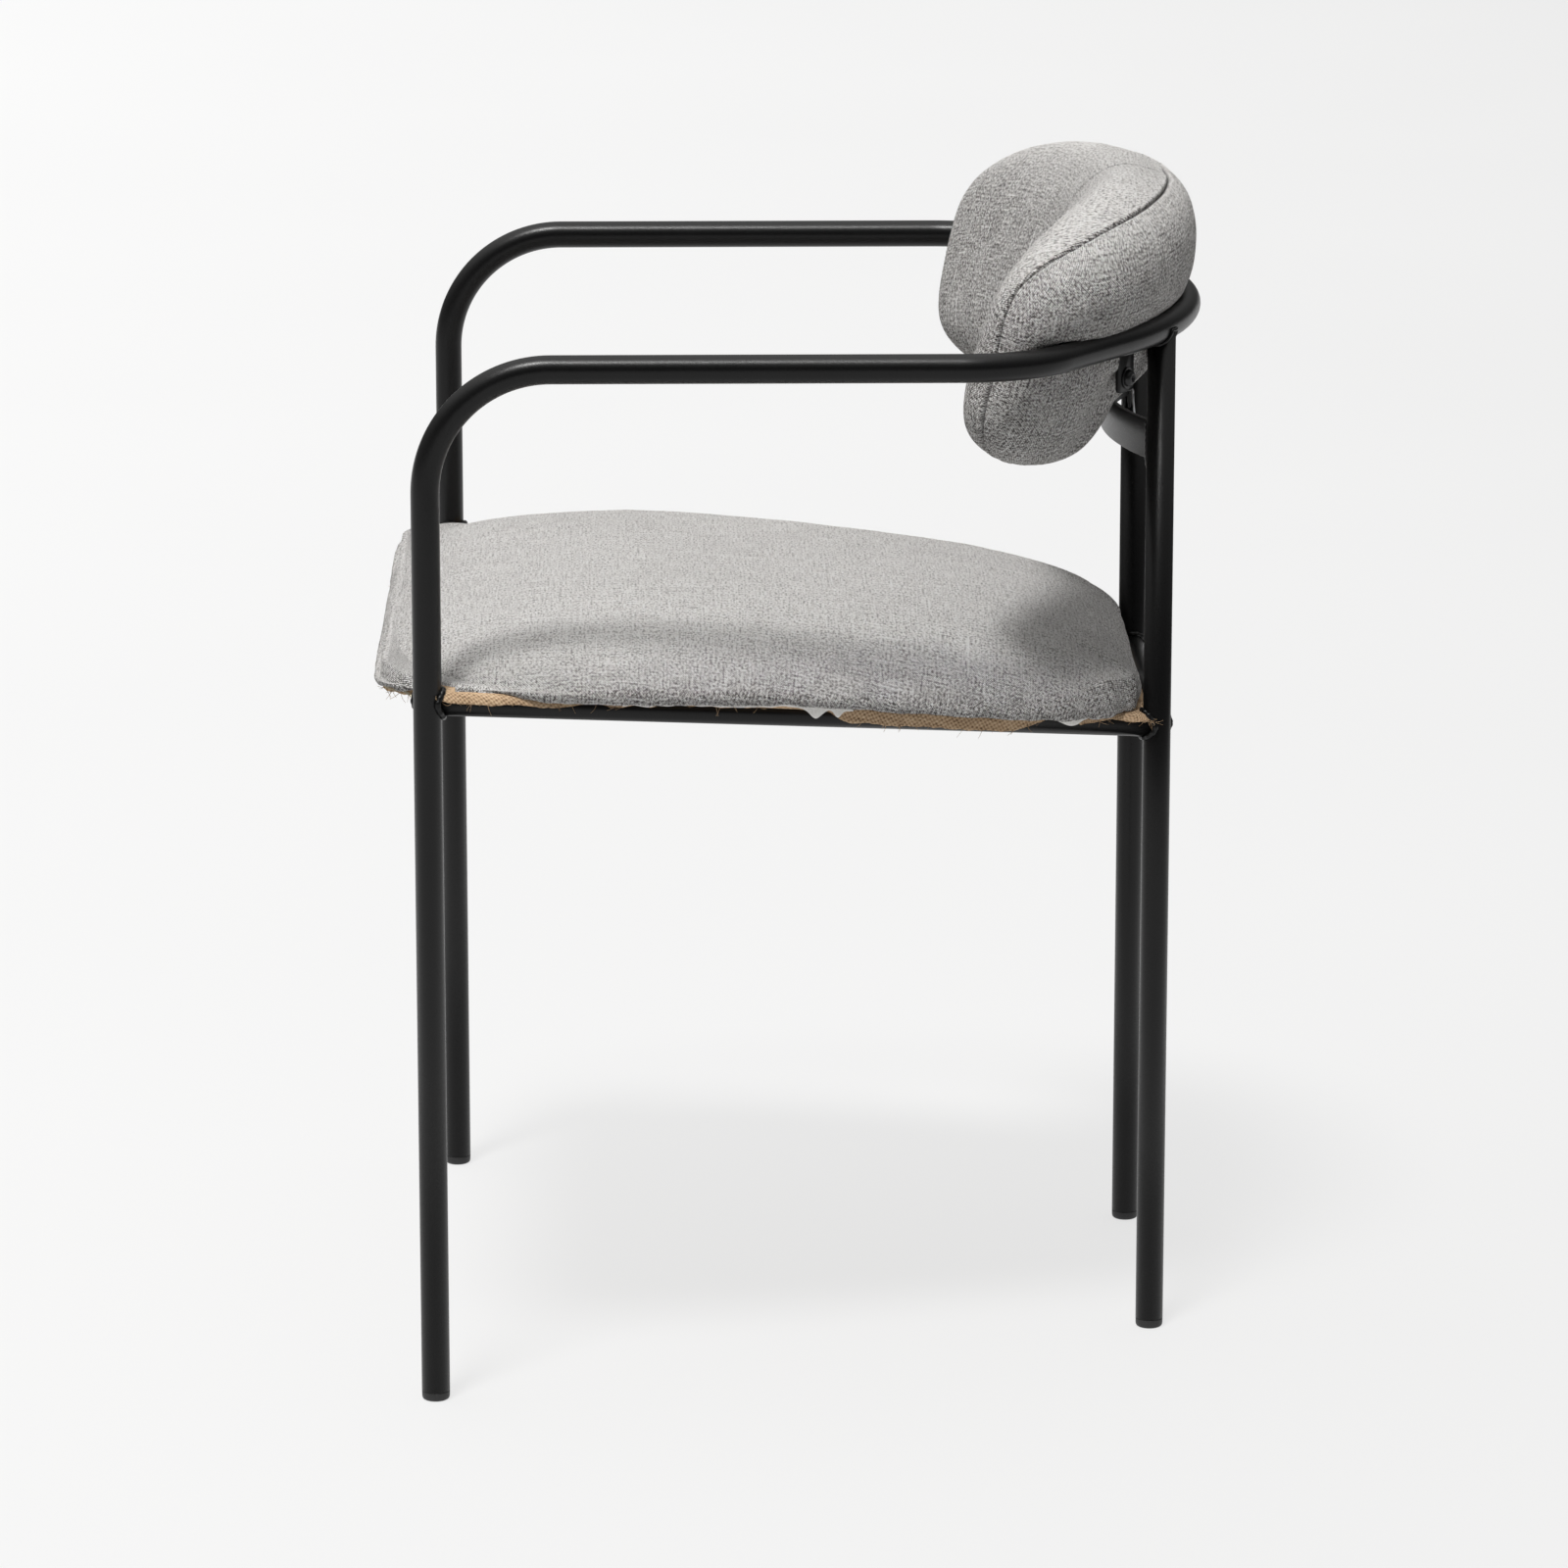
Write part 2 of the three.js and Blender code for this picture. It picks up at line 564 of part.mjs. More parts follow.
// A body of rings that follow the seat's outline; rings is a closed profile from axis to axis.
function seatForm(rings) {
  const blank = rings.map(() => new THREE.Vector2(1, 0));
  const count = seatOutline.length;
  return solid(new THREE.LatheGeometry(blank, count), (point, i) => {
    const rim = seatOutline[Math.floor(i / rings.length) % count];
    point.copy(rings[i % rings.length](rim));
  });
}

const hem = 0.9;
const hemShare = 1 - inShares(3);
addPiece('seat_cover', seatForm([
  ...TOP_SHARES.map((share) => onTop(share)),
  hanging(hemShare, hem),
  hanging(hemShare - inShares(COVER_THICKNESS), hem),
  ...TOP_SHARES.map((share) => onTop(share, COVER_THICKNESS)).reverse(),
]), 'linen', seatGroup);

// Plates under the cover: burlap, then the plywood board, then the foam.
const boardShare = 1 - inShares(32);
const burlapTop = 0.4 + BURLAP_THICKNESS;
const boardBottom = burlapTop + GAP;
const boardTop = boardBottom + BOARD_THICKNESS;
const plate = (share, bottom, top) => seatForm([
  level(0, bottom), level(share, bottom), level(share, top), level(0, top),
]);

// The four fixings: a tab on each rail near its ends, with a bolt up into the board.
const FIXING_SHARES = [['front', 0.16], ['rear', 0.84]];
const SEAT_TAB_REACH = 44; // inwards from the rail
const SEAT_TAB_WIDTH = 24;
const SEAT_BOLT_LENGTH = 13;
const railTurn = Math.atan2(FRONT_LEG.x - REAR_LEG.x, railRun);
const fixings = FIXING_SHARES.flatMap(([end, share]) => SIDES.map(([word, side]) => ({
  name: `${end}_${word}`,
  side,
  x: side * (THREE.MathUtils.lerp(FRONT_LEG.x, REAR_LEG.x, share) - RAIL_RADIUS - SEAT_TAB_REACH / 2 - 1),
  y: THREE.MathUtils.lerp(FRONT_LEG.y, REAR_LEG.y, share) / Math.cos(SEAT_SLOPE),
})));
const atFixing = (geometry, { x, y }) => solid(geometry.translate(x, y, 0));
const tabTop = -GAP;
const tabUnder = tabTop - PLATE;
const drill = (radius) => fixings.map((fixing) => atFixing(rod(radius + GAP, -20, boardTop + 1), fixing));

addPiece('seat_burlap', cut(plate(boardShare, 0.4, burlapTop), ...drill(BOLT_RADIUS)), 'burlap', seatGroup);
addPiece('seat_board', cut(plate(boardShare, boardBottom, boardTop), ...drill(INSERT_RADIUS)),
  'plywood', seatGroup);

// The foam wraps down over the board's edge.
const foamBottom = boardTop + GAP;
const foamSkirt = hem + 0.6;
const foamInset = COVER_THICKNESS + 1;
addPiece('seat_foam', seatForm([
  ...TOP_SHARES.slice(0, -1).map((share) => onTop(share, foamInset)),
  hanging(0.96, foamSkirt),
  hanging(boardShare + inShares(1), foamSkirt),
  level(boardShare + inShares(1), foamBottom),
  level(0, foamBottom),
]), 'foam', seatGroup);

for (const fixing of fixings) {
  const tab = new THREE.BoxGeometry(SEAT_TAB_REACH, SEAT_TAB_WIDTH, PLATE)
    .rotateZ(fixing.side * railTurn).translate(0, 0, tabTop - PLATE / 2);
  const hole = atFixing(rod(BOLT_RADIUS + GAP, -20, 10), fixing);
  addPiece(`seat_tab_${fixing.name}`, cut(atFixing(tab, fixing), hole), 'powderCoat', seatGroup);
  addPiece(`seat_bolt_${fixing.name}`, atFixing(
    screw(BOLT_RADIUS, HEAD_RADIUS, SEAT_BOLT_LENGTH).translate(0, 0, tabUnder - GAP), fixing,
  ), 'blackSteel', seatGroup);
  addPiece(`seat_insert_${fixing.name}`, atFixing(
    sleeve(BOLT_RADIUS + GAP, INSERT_RADIUS, boardBottom, boardTop - GAP), fixing,
  ), 'zinc', seatGroup);
}

// ---- Blank sewn-in label under the back cushion --------------------------------------------

const LABEL_LENGTH = 22;
const label = new THREE.BoxGeometry(20, 0.6, LABEL_LENGTH);
addPiece('care_label', solid(label), 'label')
  .position.set(15, STRAP_FRONT_Y + 22, strapTop - LABEL_LENGTH / 2);

export default chair;
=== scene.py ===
import math

import bpy
import numpy as np
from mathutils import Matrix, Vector, noise


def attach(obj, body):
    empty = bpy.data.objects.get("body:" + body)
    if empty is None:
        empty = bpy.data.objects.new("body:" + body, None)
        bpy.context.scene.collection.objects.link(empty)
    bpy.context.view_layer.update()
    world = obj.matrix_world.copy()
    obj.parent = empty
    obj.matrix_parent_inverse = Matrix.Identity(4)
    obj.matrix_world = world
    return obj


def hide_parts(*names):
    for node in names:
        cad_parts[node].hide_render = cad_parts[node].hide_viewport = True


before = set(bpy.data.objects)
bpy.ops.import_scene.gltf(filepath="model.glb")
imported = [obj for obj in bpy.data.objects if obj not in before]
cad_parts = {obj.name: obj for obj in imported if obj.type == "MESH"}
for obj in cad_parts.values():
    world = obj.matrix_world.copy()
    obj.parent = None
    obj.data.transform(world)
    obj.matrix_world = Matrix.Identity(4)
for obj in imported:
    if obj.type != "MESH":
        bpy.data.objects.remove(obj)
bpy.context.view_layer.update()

# Millimetres in this file, metres in the scene. The frame is the CAD's: the front faces -Y,
# +X is the sitter's left and the floor is at Z = 0.
MM = 0.001
TUBE_R = 9.0
RAIL_R = 8.0
FRONT_LEG = (260.0, -228.0)
REAR_LEG = (120.0, 237.5)
ARM_Z = 666.0
ARM_BEND = 78.0
BACK_BEND = 297.0
BACK_AXIS_Y = 261.5
BACK_HALF_TURN = 35.0
RAIL_FRONT_Z, RAIL_REAR_Z = 456.0, 407.0
FOOT_Z = 6.0
STRAP_BOTTOM, STRAP_TOP = 580.0, 605.0
STRAP_BEND, STRAP_FRONT_Y, STRAP_THICK = 290.0, 207.0, 4.0
TAB_X, TAB_BOTTOM, BOLT_Z = 155.0, 631.0, 640.0
MEAS_Y = 81.0  # added to a Y here, it gives the Y that the cushion formulas below are written in
rng = np.random.default_rng(11)


# ---- Node helpers ----

class Nodes:
    """A node tree under construction: short calls that add a node and link it."""

    def __init__(self, tree):
        self.tree = tree

    def add(self, kind, inputs=None, **settings):
        node = self.tree.nodes.new(kind)
        for key, value in settings.items():
            setattr(node, key, value)
        for key, value in (inputs or {}).items():
            self.put(node.inputs[key], value)
        return node

    def put(self, socket, value):
        if isinstance(value, bpy.types.NodeSocket):
            self.tree.links.new(value, socket)
        else:
            socket.default_value = value

    def math(self, operation, a, b=0.0, c=0.0):
        return self.add("ShaderNodeMath", {0: a, 1: b, 2: c}, operation=operation).outputs[0]

    def split(self, vector):
        """The X, Y and Z of a vector."""
        return self.add("ShaderNodeSeparateXYZ", {"Vector": vector}).outputs

    def noise(self, vector, scale, detail=2.0, roughness=0.5):
        node = self.add("ShaderNodeTexNoise", {
            "Vector": vector, "Scale": scale, "Detail": detail, "Roughness": roughness,
        })
        return node.outputs["Fac"]

    def scaled(self, vector, scale, shift=(0.0, 0.0, 0.0)):
        node = self.add("ShaderNodeMapping", {"Vector": vector, "Scale": scale, "Location": shift})
        return node.outputs["Vector"]

    def ramp(self, factor, stops):
        node = self.add("ShaderNodeValToRGB", {"Fac": factor})
        elements = node.color_ramp.elements
        while len(elements) < len(stops):
            elements.new(0.5)
        for element, (place, colour) in zip(elements, stops):
            element.position = place
            element.color = (*colour, 1.0)
        return node.outputs["Color"]

    def fit(self, value, from_low, from_high, to_low=0.0, to_high=1.0):
        node = self.add("ShaderNodeMapRange", {
            0: value, 1: from_low, 2: from_high, 3: to_low, 4: to_high,
        })
        return node.outputs[0]

    def mix(self, factor, a, b, blend="MIX"):
        node = self.add("ShaderNodeMix", data_type="RGBA", blend_type=blend)
        for key, value in ((0, factor), (6, a), (7, b)):
            if isinstance(value, tuple):
                value = (*value, 1.0)
            self.put(node.inputs[key], value)
        return node.outputs[2]

    def bump(self, height, strength, distance):
        node = self.add("ShaderNodeBump", {
            "Height": height, "Strength": strength, "Distance": distance,
        })
        return node.outputs["Normal"]


class Material(Nodes):
    """A new material, whose Principled shader takes values by name."""

    def __init__(self, name):
        self.material = bpy.data.materials.new(name)
        self.material.use_nodes = True
        super().__init__(self.material.node_tree)
        self.shader = self.tree.nodes["Principled BSDF"]

    def set(self, **values):
        for key, value in values.items():
            self.put(self.shader.inputs[key.replace("_", " ")], value)
        return self.material


def srgb(*channels):
    """A colour given as 8-bit sRGB, as the linear values a shader takes."""
    values = (v / 255.0 for v in channels)
    return tuple(v / 12.92 if v <= 0.04045 else ((v + 0.055) / 1.055) ** 2.4 for v in values)


# ---- Materials ----

LINEN_PITCH = 0.0018  # metres over two threads
JUTE_PITCH = 0.0031


def linen(name):
    """Chunky slub linen in a plain weave. Its map is in metres along the two threads, and the attribute
    "seam" is 1 along the seams, where the colour is darkened as painted shade in the seam grooves. Its sides
    are painted darker and its top lighter, as painted shade and light."""
    m = Material(name)
    at = m.add("ShaderNodeUVMap", uv_map="weave").outputs["UV"]
    wander = m.add("ShaderNodeTexNoise", {"Vector": at, "Scale": 55.0, "Detail": 3.0})
    centred = m.add(
        "ShaderNodeVectorMath", {0: wander.outputs["Color"], 1: (-0.5, -0.5, -0.5)}, operation="ADD",
    )
    small = m.add("ShaderNodeVectorMath", {0: centred.outputs[0], "Scale": 0.0011}, operation="SCALE")
    at = m.add("ShaderNodeVectorMath", {0: at, 1: small.outputs[0]}, operation="ADD").outputs[0]
    u, v, _ = m.split(at)
    pitch = 2.0 * math.pi / LINEN_PITCH
    wave_u = m.math("SINE", m.math("MULTIPLY", u, pitch))
    wave_v = m.math("SINE", m.math("MULTIPLY", v, pitch * 1.08))
    weave = m.math("MULTIPLY", wave_u, wave_v)
    # Thread by thread: each runs long one way and changes quickly across.
    along_v = m.noise(m.scaled(at, (780.0, 42.0, 1.0)), 1.0, 3.0, 0.6)
    along_u = m.noise(m.scaled(at, (42.0, 780.0, 1.0), (7.3, 3.1, 0.0)), 1.0, 3.0, 0.6)
    slub_v = m.noise(m.scaled(at, (430.0, 22.0, 1.0), (3.7, 9.2, 0.0)), 1.0)
    slub_u = m.noise(m.scaled(at, (22.0, 430.0, 1.0), (5.1, 1.4, 0.0)), 1.0)
    slub = m.math("MAXIMUM", m.fit(slub_v, 0.62, 0.76), m.fit(slub_u, 0.64, 0.78))
    fleck = m.noise(at, 600.0, 2.0, 0.75)
    thread = m.math("ADD", m.math("MULTIPLY", along_v, 0.5), m.math("MULTIPLY", along_u, 0.5))
    tone = m.math("MULTIPLY_ADD", m.math("SUBTRACT", thread, 0.5), 2.2, 0.56)
    tone = m.math("MULTIPLY_ADD", m.math("SUBTRACT", fleck, 0.5), 3.2, tone)
    tone = m.math("MULTIPLY_ADD", weave, 0.32, tone)
    tone = m.math("MULTIPLY_ADD", slub, 0.60, tone)
    # Painted light and shade: by the geometry normal, faces turned up get a lighter tone with less contrast,
    # and the sides a darker tone with dark gaps, as the light falls on them.
    facing = m.split(m.add("ShaderNodeNewGeometry").outputs["Normal"])
    lit_share = m.fit(facing["Z"], 0.38, 0.95)
    # The lighter tone painted on upward faces as painted light.
    lit_top_tone = m.ramp(tone, [
        (0.06, srgb(132, 126, 123)), (0.34, srgb(214, 210, 207)),
        (0.58, srgb(244, 241, 238)), (0.92, srgb(255, 254, 252)),
    ])
    # The darker tone painted on the sides as painted shade.
    shaded_side_tone = m.ramp(tone, [
        (0.10, srgb(48, 43, 41)), (0.38, srgb(146, 141, 137)),
        (0.62, srgb(212, 208, 205)), (0.92, srgb(255, 254, 252)),
    ])
    colour = m.mix(lit_share, shaded_side_tone, lit_top_tone)
    # Painted shade: the colour is darkened along the seams, as the shade that falls in their grooves.
    seam = m.add("ShaderNodeAttribute", attribute_name="seam").outputs["Fac"]
    colour = m.mix(m.math("MULTIPLY", seam, 0.85), colour, srgb(58, 52, 50))
    cloudy = m.fit(m.noise(at, 9.0, 3.0, 0.55), 0.3, 0.7, 0.965, 1.03)
    grey = m.add("ShaderNodeCombineColor", {0: cloudy, 1: cloudy, 2: cloudy}).outputs[0]
    colour = m.mix(1.0, colour, grey, "MULTIPLY")
    height = m.math("MULTIPLY_ADD", weave, 0.7, m.math("MULTIPLY", fleck, 1.8))
    height = m.math("MULTIPLY_ADD", slub, 0.7, height)
    height = m.math("MULTIPLY_ADD", thread, 0.8, height)
    normal = m.bump(height, 1.0, 0.0017)
    m.set(Base_Color=colour, Normal=normal)
    return m.set(Roughness=0.95, Sheen_Weight=0.15, Sheen_Roughness=0.5, Specular_IOR_Level=0.2)


def powder_coat(name, base=0.0035, rough=0.31):
    """Satin black powder coat with a fine orange peel."""
    m = Material(name)
    at = m.add("ShaderNodeTexCoord").outputs["Object"]
    peel = m.noise(at, 1500.0, 3.0, 0.6)
    coarse = m.noise(at, 260.0, 2.0, 0.5)
    shade = m.fit(m.noise(at, 30.0, 3.0, 0.6), 0.3, 0.7, base * 0.88, base * 1.15)
    colour = m.add("ShaderNodeCombineColor", {0: shade, 1: shade, 2: m.math("MULTIPLY", shade, 1.04)})
    roughness = m.fit(peel, 0.3, 0.7, rough - 0.05, rough + 0.07)
    height = m.math("MULTIPLY_ADD", coarse, 0.6, peel)
    normal = m.bump(height, 0.16, 0.00022)
    m.set(Base_Color=colour.outputs[0], Roughness=roughness, Normal=normal)
    return m.set(Specular_IOR_Level=0.25, IOR=1.5)


def burlap(name):
    """Open jute weave with broken, hairy threads."""
    m = Material(name)
    at = m.add("ShaderNodeUVMap", uv_map="weave").outputs["UV"]
    u, v, _ = m.split(at)
    pitch = 2.0 * math.pi / JUTE_PITCH
    wave_u = m.math("SINE", m.math("MULTIPLY", u, pitch))
    wave_v = m.math("SINE", m.math("MULTIPLY", v, pitch))
    grid = m.math("MULTIPLY", wave_u, wave_v)
    strands = m.noise(m.scaled(at, (520.0, 60.0, 1.0)), 1.0, 3.0, 0.6)
    fleck = m.noise(at, 620.0, 2.0, 0.6)
    tone = m.math("ADD", m.math("MULTIPLY", strands, 0.6), m.math("MULTIPLY", fleck, 0.4))
    tone = m.math("MULTIPLY_ADD", grid, 0.16, tone)
    colour = m.ramp(tone, [
        (0.25, srgb(92, 72, 52)), (0.5, srgb(178, 150, 120)), (0.8, srgb(214, 192, 162)),
    ])
    normal = m.bump(tone, 0.7, 0.0008)
    return m.set(Base_Color=colour, Normal=normal, Roughness=0.95, Specular_IOR_Level=0.15)


def mottled(name, low, high, scale, rough, stretch=(1.0, 1.0, 1.0), metal=0.0, depth=0.0002, strength=0.3):
    """A plain finish between two tones of one noise: foam, plywood, lining, glides, zinc."""
    m = Material(name)
    at = m.scaled(m.add("ShaderNodeTexCoord").outputs["Object"], stretch)
    field = m.noise(at, scale, 4.0, 0.6)
    colour = m.ramp(field, [(0.3, low), (0.7, high)])
    normal = m.bump(field, strength, depth)
    roughness = m.fit(field, 0.3, 0.7, max(0.05, rough - 0.06), min(1.0, rough + 0.06))
    return m.set(Base_Color=colour, Normal=normal, Roughness=roughness, Metallic=metal)


coat = powder_coat("coat_black")
seat_linen = linen("linen_seat")
jute = burlap("jute")
foam_mat = mottled("foam_cream", srgb(205, 196, 168), srgb(226, 219, 196), 420.0, 0.95)
ply_mat = mottled("birch_ply", srgb(176, 138, 92), srgb(206, 172, 126), 22.0, 0.7, stretch=(1.0, 12.0, 12.0))
lining_mat = mottled("lining_white", srgb(222, 220, 214), srgb(244, 243, 240), 700.0, 0.9)
label_mat = mottled("label_satin", srgb(226, 227, 229), srgb(242, 243, 245), 900.0, 0.6)
glide_mat = mottled("glide_black", (0.010, 0.010, 0.010), (0.017, 0.017, 0.018), 300.0, 0.5)
bolt_mat = mottled("bolt_black", (0.014, 0.014, 0.015), (0.03, 0.03, 0.031), 500.0, 0.32, metal=0.6)
zinc_mat = mottled("zinc_plate", srgb(140, 142, 145), srgb(176, 178, 180), 240.0, 0.35, metal=1.0)


# ---- Mesh helpers ----

def placed(name, data):
    """A new object in the scene."""
    made = bpy.data.objects.new(name, data)
    bpy.context.scene.collection.objects.link(made)
    return made


def add_mesh(name, vertices, faces, material, slot, nodes=(), weave=None):
    """One piece from points in millimetres. weave is each point's place along the two threads."""
    mesh = bpy.data.meshes.new(name)
    mesh.from_pydata((np.asarray(vertices, float) * MM).tolist(), [], faces)
    mesh.validate()
    mesh.update()
    if weave is not None:
        layer = mesh.uv_layers.new(name="weave")
        corners = np.empty(len(mesh.loops), dtype=np.int32)
        mesh.loops.foreach_get("vertex_index", corners)
        layer.data.foreach_set("uv", (np.asarray(weave) * MM)[corners].ravel())
    mesh.shade_smooth()
    mesh.materials.append(material)
    piece = placed(name, mesh)
    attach(piece, "root")
    if nodes:
        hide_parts(*nodes)
    return piece


def ring_faces(rings, count, closed=True):
    """Quads between rings of the same count; each ring closes on itself if closed."""
    faces = []
    last = count if closed else count - 1
    for r in range(rings - 1):
        a, b = r * count, (r + 1) * count
        for i in range(last):
            j = (i + 1) % count
            faces.append((a + i, a + j, b + j, b + i))
    return faces


def unit(v):
    v = np.asarray(v, float)
    return v / np.linalg.norm(v)


def bend_route(corners, bends, step=2.5):
    """Points along straight runs joined by circular bends, as the CAD's own routes are."""
    corners = [np.asarray(c, float) for c in corners]
    points = [corners[0]]
    for i in range(1, len(corners) - 1):
        before, after = unit(corners[i] - corners[i - 1]), unit(corners[i + 1] - corners[i])
        turn = math.acos(float(np.clip(before @ after, -1, 1)))
        axis = unit(np.cross(before, after))
        start = corners[i] - before * bends[i - 1] * math.tan(turn / 2)
        inward = np.cross(axis, before)
        centre = start + inward * bends[i - 1]
        count = max(2, math.ceil(math.degrees(turn) / step))
        for k in range(count + 1):
            a = turn * k / count
            points.append(centre + bends[i - 1] * (-inward * math.cos(a) + before * math.sin(a)))
    points.append(corners[-1])
    return np.array(points)


def tangents(points, closed=False):
    ahead = np.roll(points, -1, 0) - points
    behind = points - np.roll(points, 1, 0)
    if not closed:
        ahead[-1] = behind[-1]
        behind[0] = ahead[0]
    both = ahead / np.linalg.norm(ahead, axis=1)[:, None]
    both += behind / np.linalg.norm(behind, axis=1)[:, None]
    return both / np.linalg.norm(both, axis=1)[:, None]


def end_caps(rings, count):
    """The two faces that close a stack of rings."""
    last = (rings - 1) * count
    return [tuple(range(count))[::-1], tuple(last + i for i in range(count))]


def sweep(points, radius, sides=48, closed=False):
    """A round bar along points. radius is one number or one for each point."""
    points = np.asarray(points, float)
    radii = np.broadcast_to(np.asarray(radius, float), (len(points),))
    along = tangents(points, closed)
    side = np.cross(along[0], (0.0, 0.0, 1.0))
    if np.linalg.norm(side) < 1e-3:
        side = np.array((1.0, 0.0, 0.0))
    side = unit(side)
    turn = 2 * math.pi * np.arange(sides) / sides
    rings = []
    for point, t, r in zip(points, along, radii):
        side = unit(side - t * (side @ t))
        other = np.cross(t, side)
        rings.append(point + r * (np.outer(np.cos(turn), side) + np.outer(np.sin(turn), other)))
    vertices = np.concatenate(rings)
    faces = ring_faces(len(rings), sides)
    if closed:
        last = (len(rings) - 1) * sides
        faces += [(last + i, last + (i + 1) % sides, (i + 1) % sides, i) for i in range(sides)]
    else:
        faces += end_caps(len(rings), sides)
    return vertices, faces


def level_ring(radius, height, sides):
    """A ring round Z. radius is one number or one for each of its points."""
    turn = 2 * math.pi * np.arange(sides) / sides
    return np.column_stack((radius * np.cos(turn), radius * np.sin(turn), np.full(sides, height)))


def closed_rings(grid, ends=None):
    """A ring grid closed by a point in the middle of each end, or by the two points given."""
    rings, count = grid.shape[:2]
    if ends is None:
        ends = [grid[0].mean(0), grid[-1].mean(0)]
    faces = ring_faces(rings, count)
    a, b, end = rings * count, rings * count + 1, (rings - 1) * count
    faces += [(a, (i + 1) % count, i) for i in range(count)]
    faces += [(b, end + i, end + (i + 1) % count) for i in range(count)]
    return np.concatenate([grid.reshape(-1, 3), ends]), faces


def lathe(profile, sides=64):
    """A body turned about Z from [radius, height] pairs that start and end on the axis."""
    rings = np.array([level_ring(r, h, sides) for r, h in profile[1:-1]])
    return closed_rings(rings, [[0, 0, profile[0][1]], [0, 0, profile[-1][1]]])


def joined(parts):
    """Several (vertices, faces) as one."""
    vertices, faces, start = [], [], 0
    for v, f in parts:
        vertices.append(np.asarray(v, float))
        faces += [tuple(start + i for i in face) for face in f]
        start += len(v)
    return np.concatenate(vertices), faces


def rounded(profile, radius, steps=5):
    """A profile with its inner corners turned into small arcs."""
    out = [profile[0]]
    for a, b, c in zip(profile, profile[1:], profile[2:]):
        a, b, c = (np.array(p, float) for p in (a, b, c))
        reach = min(radius, 0.45 * np.linalg.norm(b - a), 0.45 * np.linalg.norm(c - b))
        p, q = b + unit(a - b) * reach, b + unit(c - b) * reach
        out += [tuple((1 - t) ** 2 * p + 2 * t * (1 - t) * b + t ** 2 * q) for t in np.linspace(0, 1, steps)]
    return out + [profile[-1]]


# ---- Frame ----

back_slope = math.tan(math.radians(BACK_HALF_TURN))
apex_y = BACK_AXIS_Y + BACK_BEND * (1 / math.cos(math.radians(BACK_HALF_TURN)) - 1)
corner_y = apex_y - FRONT_LEG[0] * back_slope
LOOP = bend_route([
    (FRONT_LEG[0], FRONT_LEG[1], FOOT_Z), (FRONT_LEG[0], FRONT_LEG[1], ARM_Z),
    (FRONT_LEG[0], corner_y, ARM_Z), (0.0, apex_y, ARM_Z), (-FRONT_LEG[0], corner_y, ARM_Z),
    (-FRONT_LEG[0], FRONT_LEG[1], ARM_Z), (-FRONT_LEG[0], FRONT_LEG[1], FOOT_Z),
], [ARM_BEND, ARM_BEND, BACK_BEND, ARM_BEND, ARM_BEND])

SIDES = (("left", 1.0), ("right", -1.0))


def on_rear_leg(s, z):
    """The point of a rear leg's axis at a height."""
    return np.array((s * REAR_LEG[0], REAR_LEG[1], z))


front_joint = {s: np.array((s * FRONT_LEG[0], FRONT_LEG[1], RAIL_FRONT_Z)) for _, s in SIDES}
rear_joint = {s: on_rear_leg(s, RAIL_REAR_Z) for _, s in SIDES}


def add_tube(name, points, radius, node):
    return add_mesh(name, *sweep(points, radius), coat, "frame_coat", [node])


add_tube("tube_loop", LOOP, TUBE_R, "loop_tube")
for word, s in SIDES:
    leg = [on_rear_leg(s, z) for z in (FOOT_Z, ARM_Z - 1.0)]
    add_tube(f"tube_rear_leg_{word}", leg, TUBE_R, f"rear_leg_{word}")
    add_tube(f"rail_side_{word}", [front_joint[s], rear_joint[s]], RAIL_R, f"seat_rail_{word}")
add_tube("rail_front", [front_joint[-1.0], front_joint[1.0]], RAIL_R, "seat_front_rail")
add_tube("rail_rear", [rear_joint[-1.0], rear_joint[1.0]], RAIL_R, "seat_rear_rail")


BEAD_SIDES = 14


def weld(start, direction, branch_r, axis_point, axis, main_r, bead=2.0):
    """A bead round a branch tube where it meets a main tube, from the branch's inside point."""
    d, axis = unit(direction), unit(axis)
    u = unit(np.cross(d, axis))
    v = np.cross(d, u)
    count = 96
    points = []
    for k in range(count):
        a = 2 * math.pi * k / count
        base = start + (branch_r + 0.35 * bead) * (math.cos(a) * u + math.sin(a) * v) - axis_point
        q, m = base - axis * (base @ axis), d - axis * (d @ axis)
        qa, qb, qc = m @ m, 2 * q @ m, q @ q - (main_r + 0.35 * bead) ** 2
        disc = max(0.0, qb * qb - 4 * qa * qc)
        t = (-qb + math.sqrt(disc)) / (2 * qa)
        points.append(base + axis_point + d * t)
    radii = [
        bead * (1 + 0.10 * math.sin(0.95 * k) + 0.05 * noise.noise(Vector((k * 0.7, 3.0, 1.0))))
        for k in range(count)
    ]
    return sweep(points, radii, sides=BEAD_SIDES, closed=True)


UP = np.array((0.0, 0.0, 1.0))
beads = []
for _, s in SIDES:
    along = rear_joint[s] - front_joint[s]
    front, rear, across = front_joint[s], rear_joint[s], (-s, 0, 0)
    for joint, direction in ((front, along), (rear, -along), (front, across), (rear, across)):
        beads.append(weld(joint, direction, RAIL_R, joint, UP, TUBE_R))
    leg = on_rear_leg(s, ARM_Z)
    nearest = int(np.argmin(np.linalg.norm(LOOP - leg, axis=1)))
    beads.append(weld(leg, -UP, TUBE_R, LOOP[nearest], tangents(LOOP)[nearest], TUBE_R, 1.1))
add_mesh("weld_beads", *joined(beads), coat, "frame_coat")


def bar(profile_points, path_points, normals):
    """A bar of constant section along a level path: section in (outward, up)."""
    rings = [
        [point + n * a + UP * b for a, b in profile_points] for point, n in zip(path_points, normals)
    ]
    size = len(rings), len(profile_points)
    return np.array(rings).reshape(-1, 3), ring_faces(*size) + end_caps(*size)


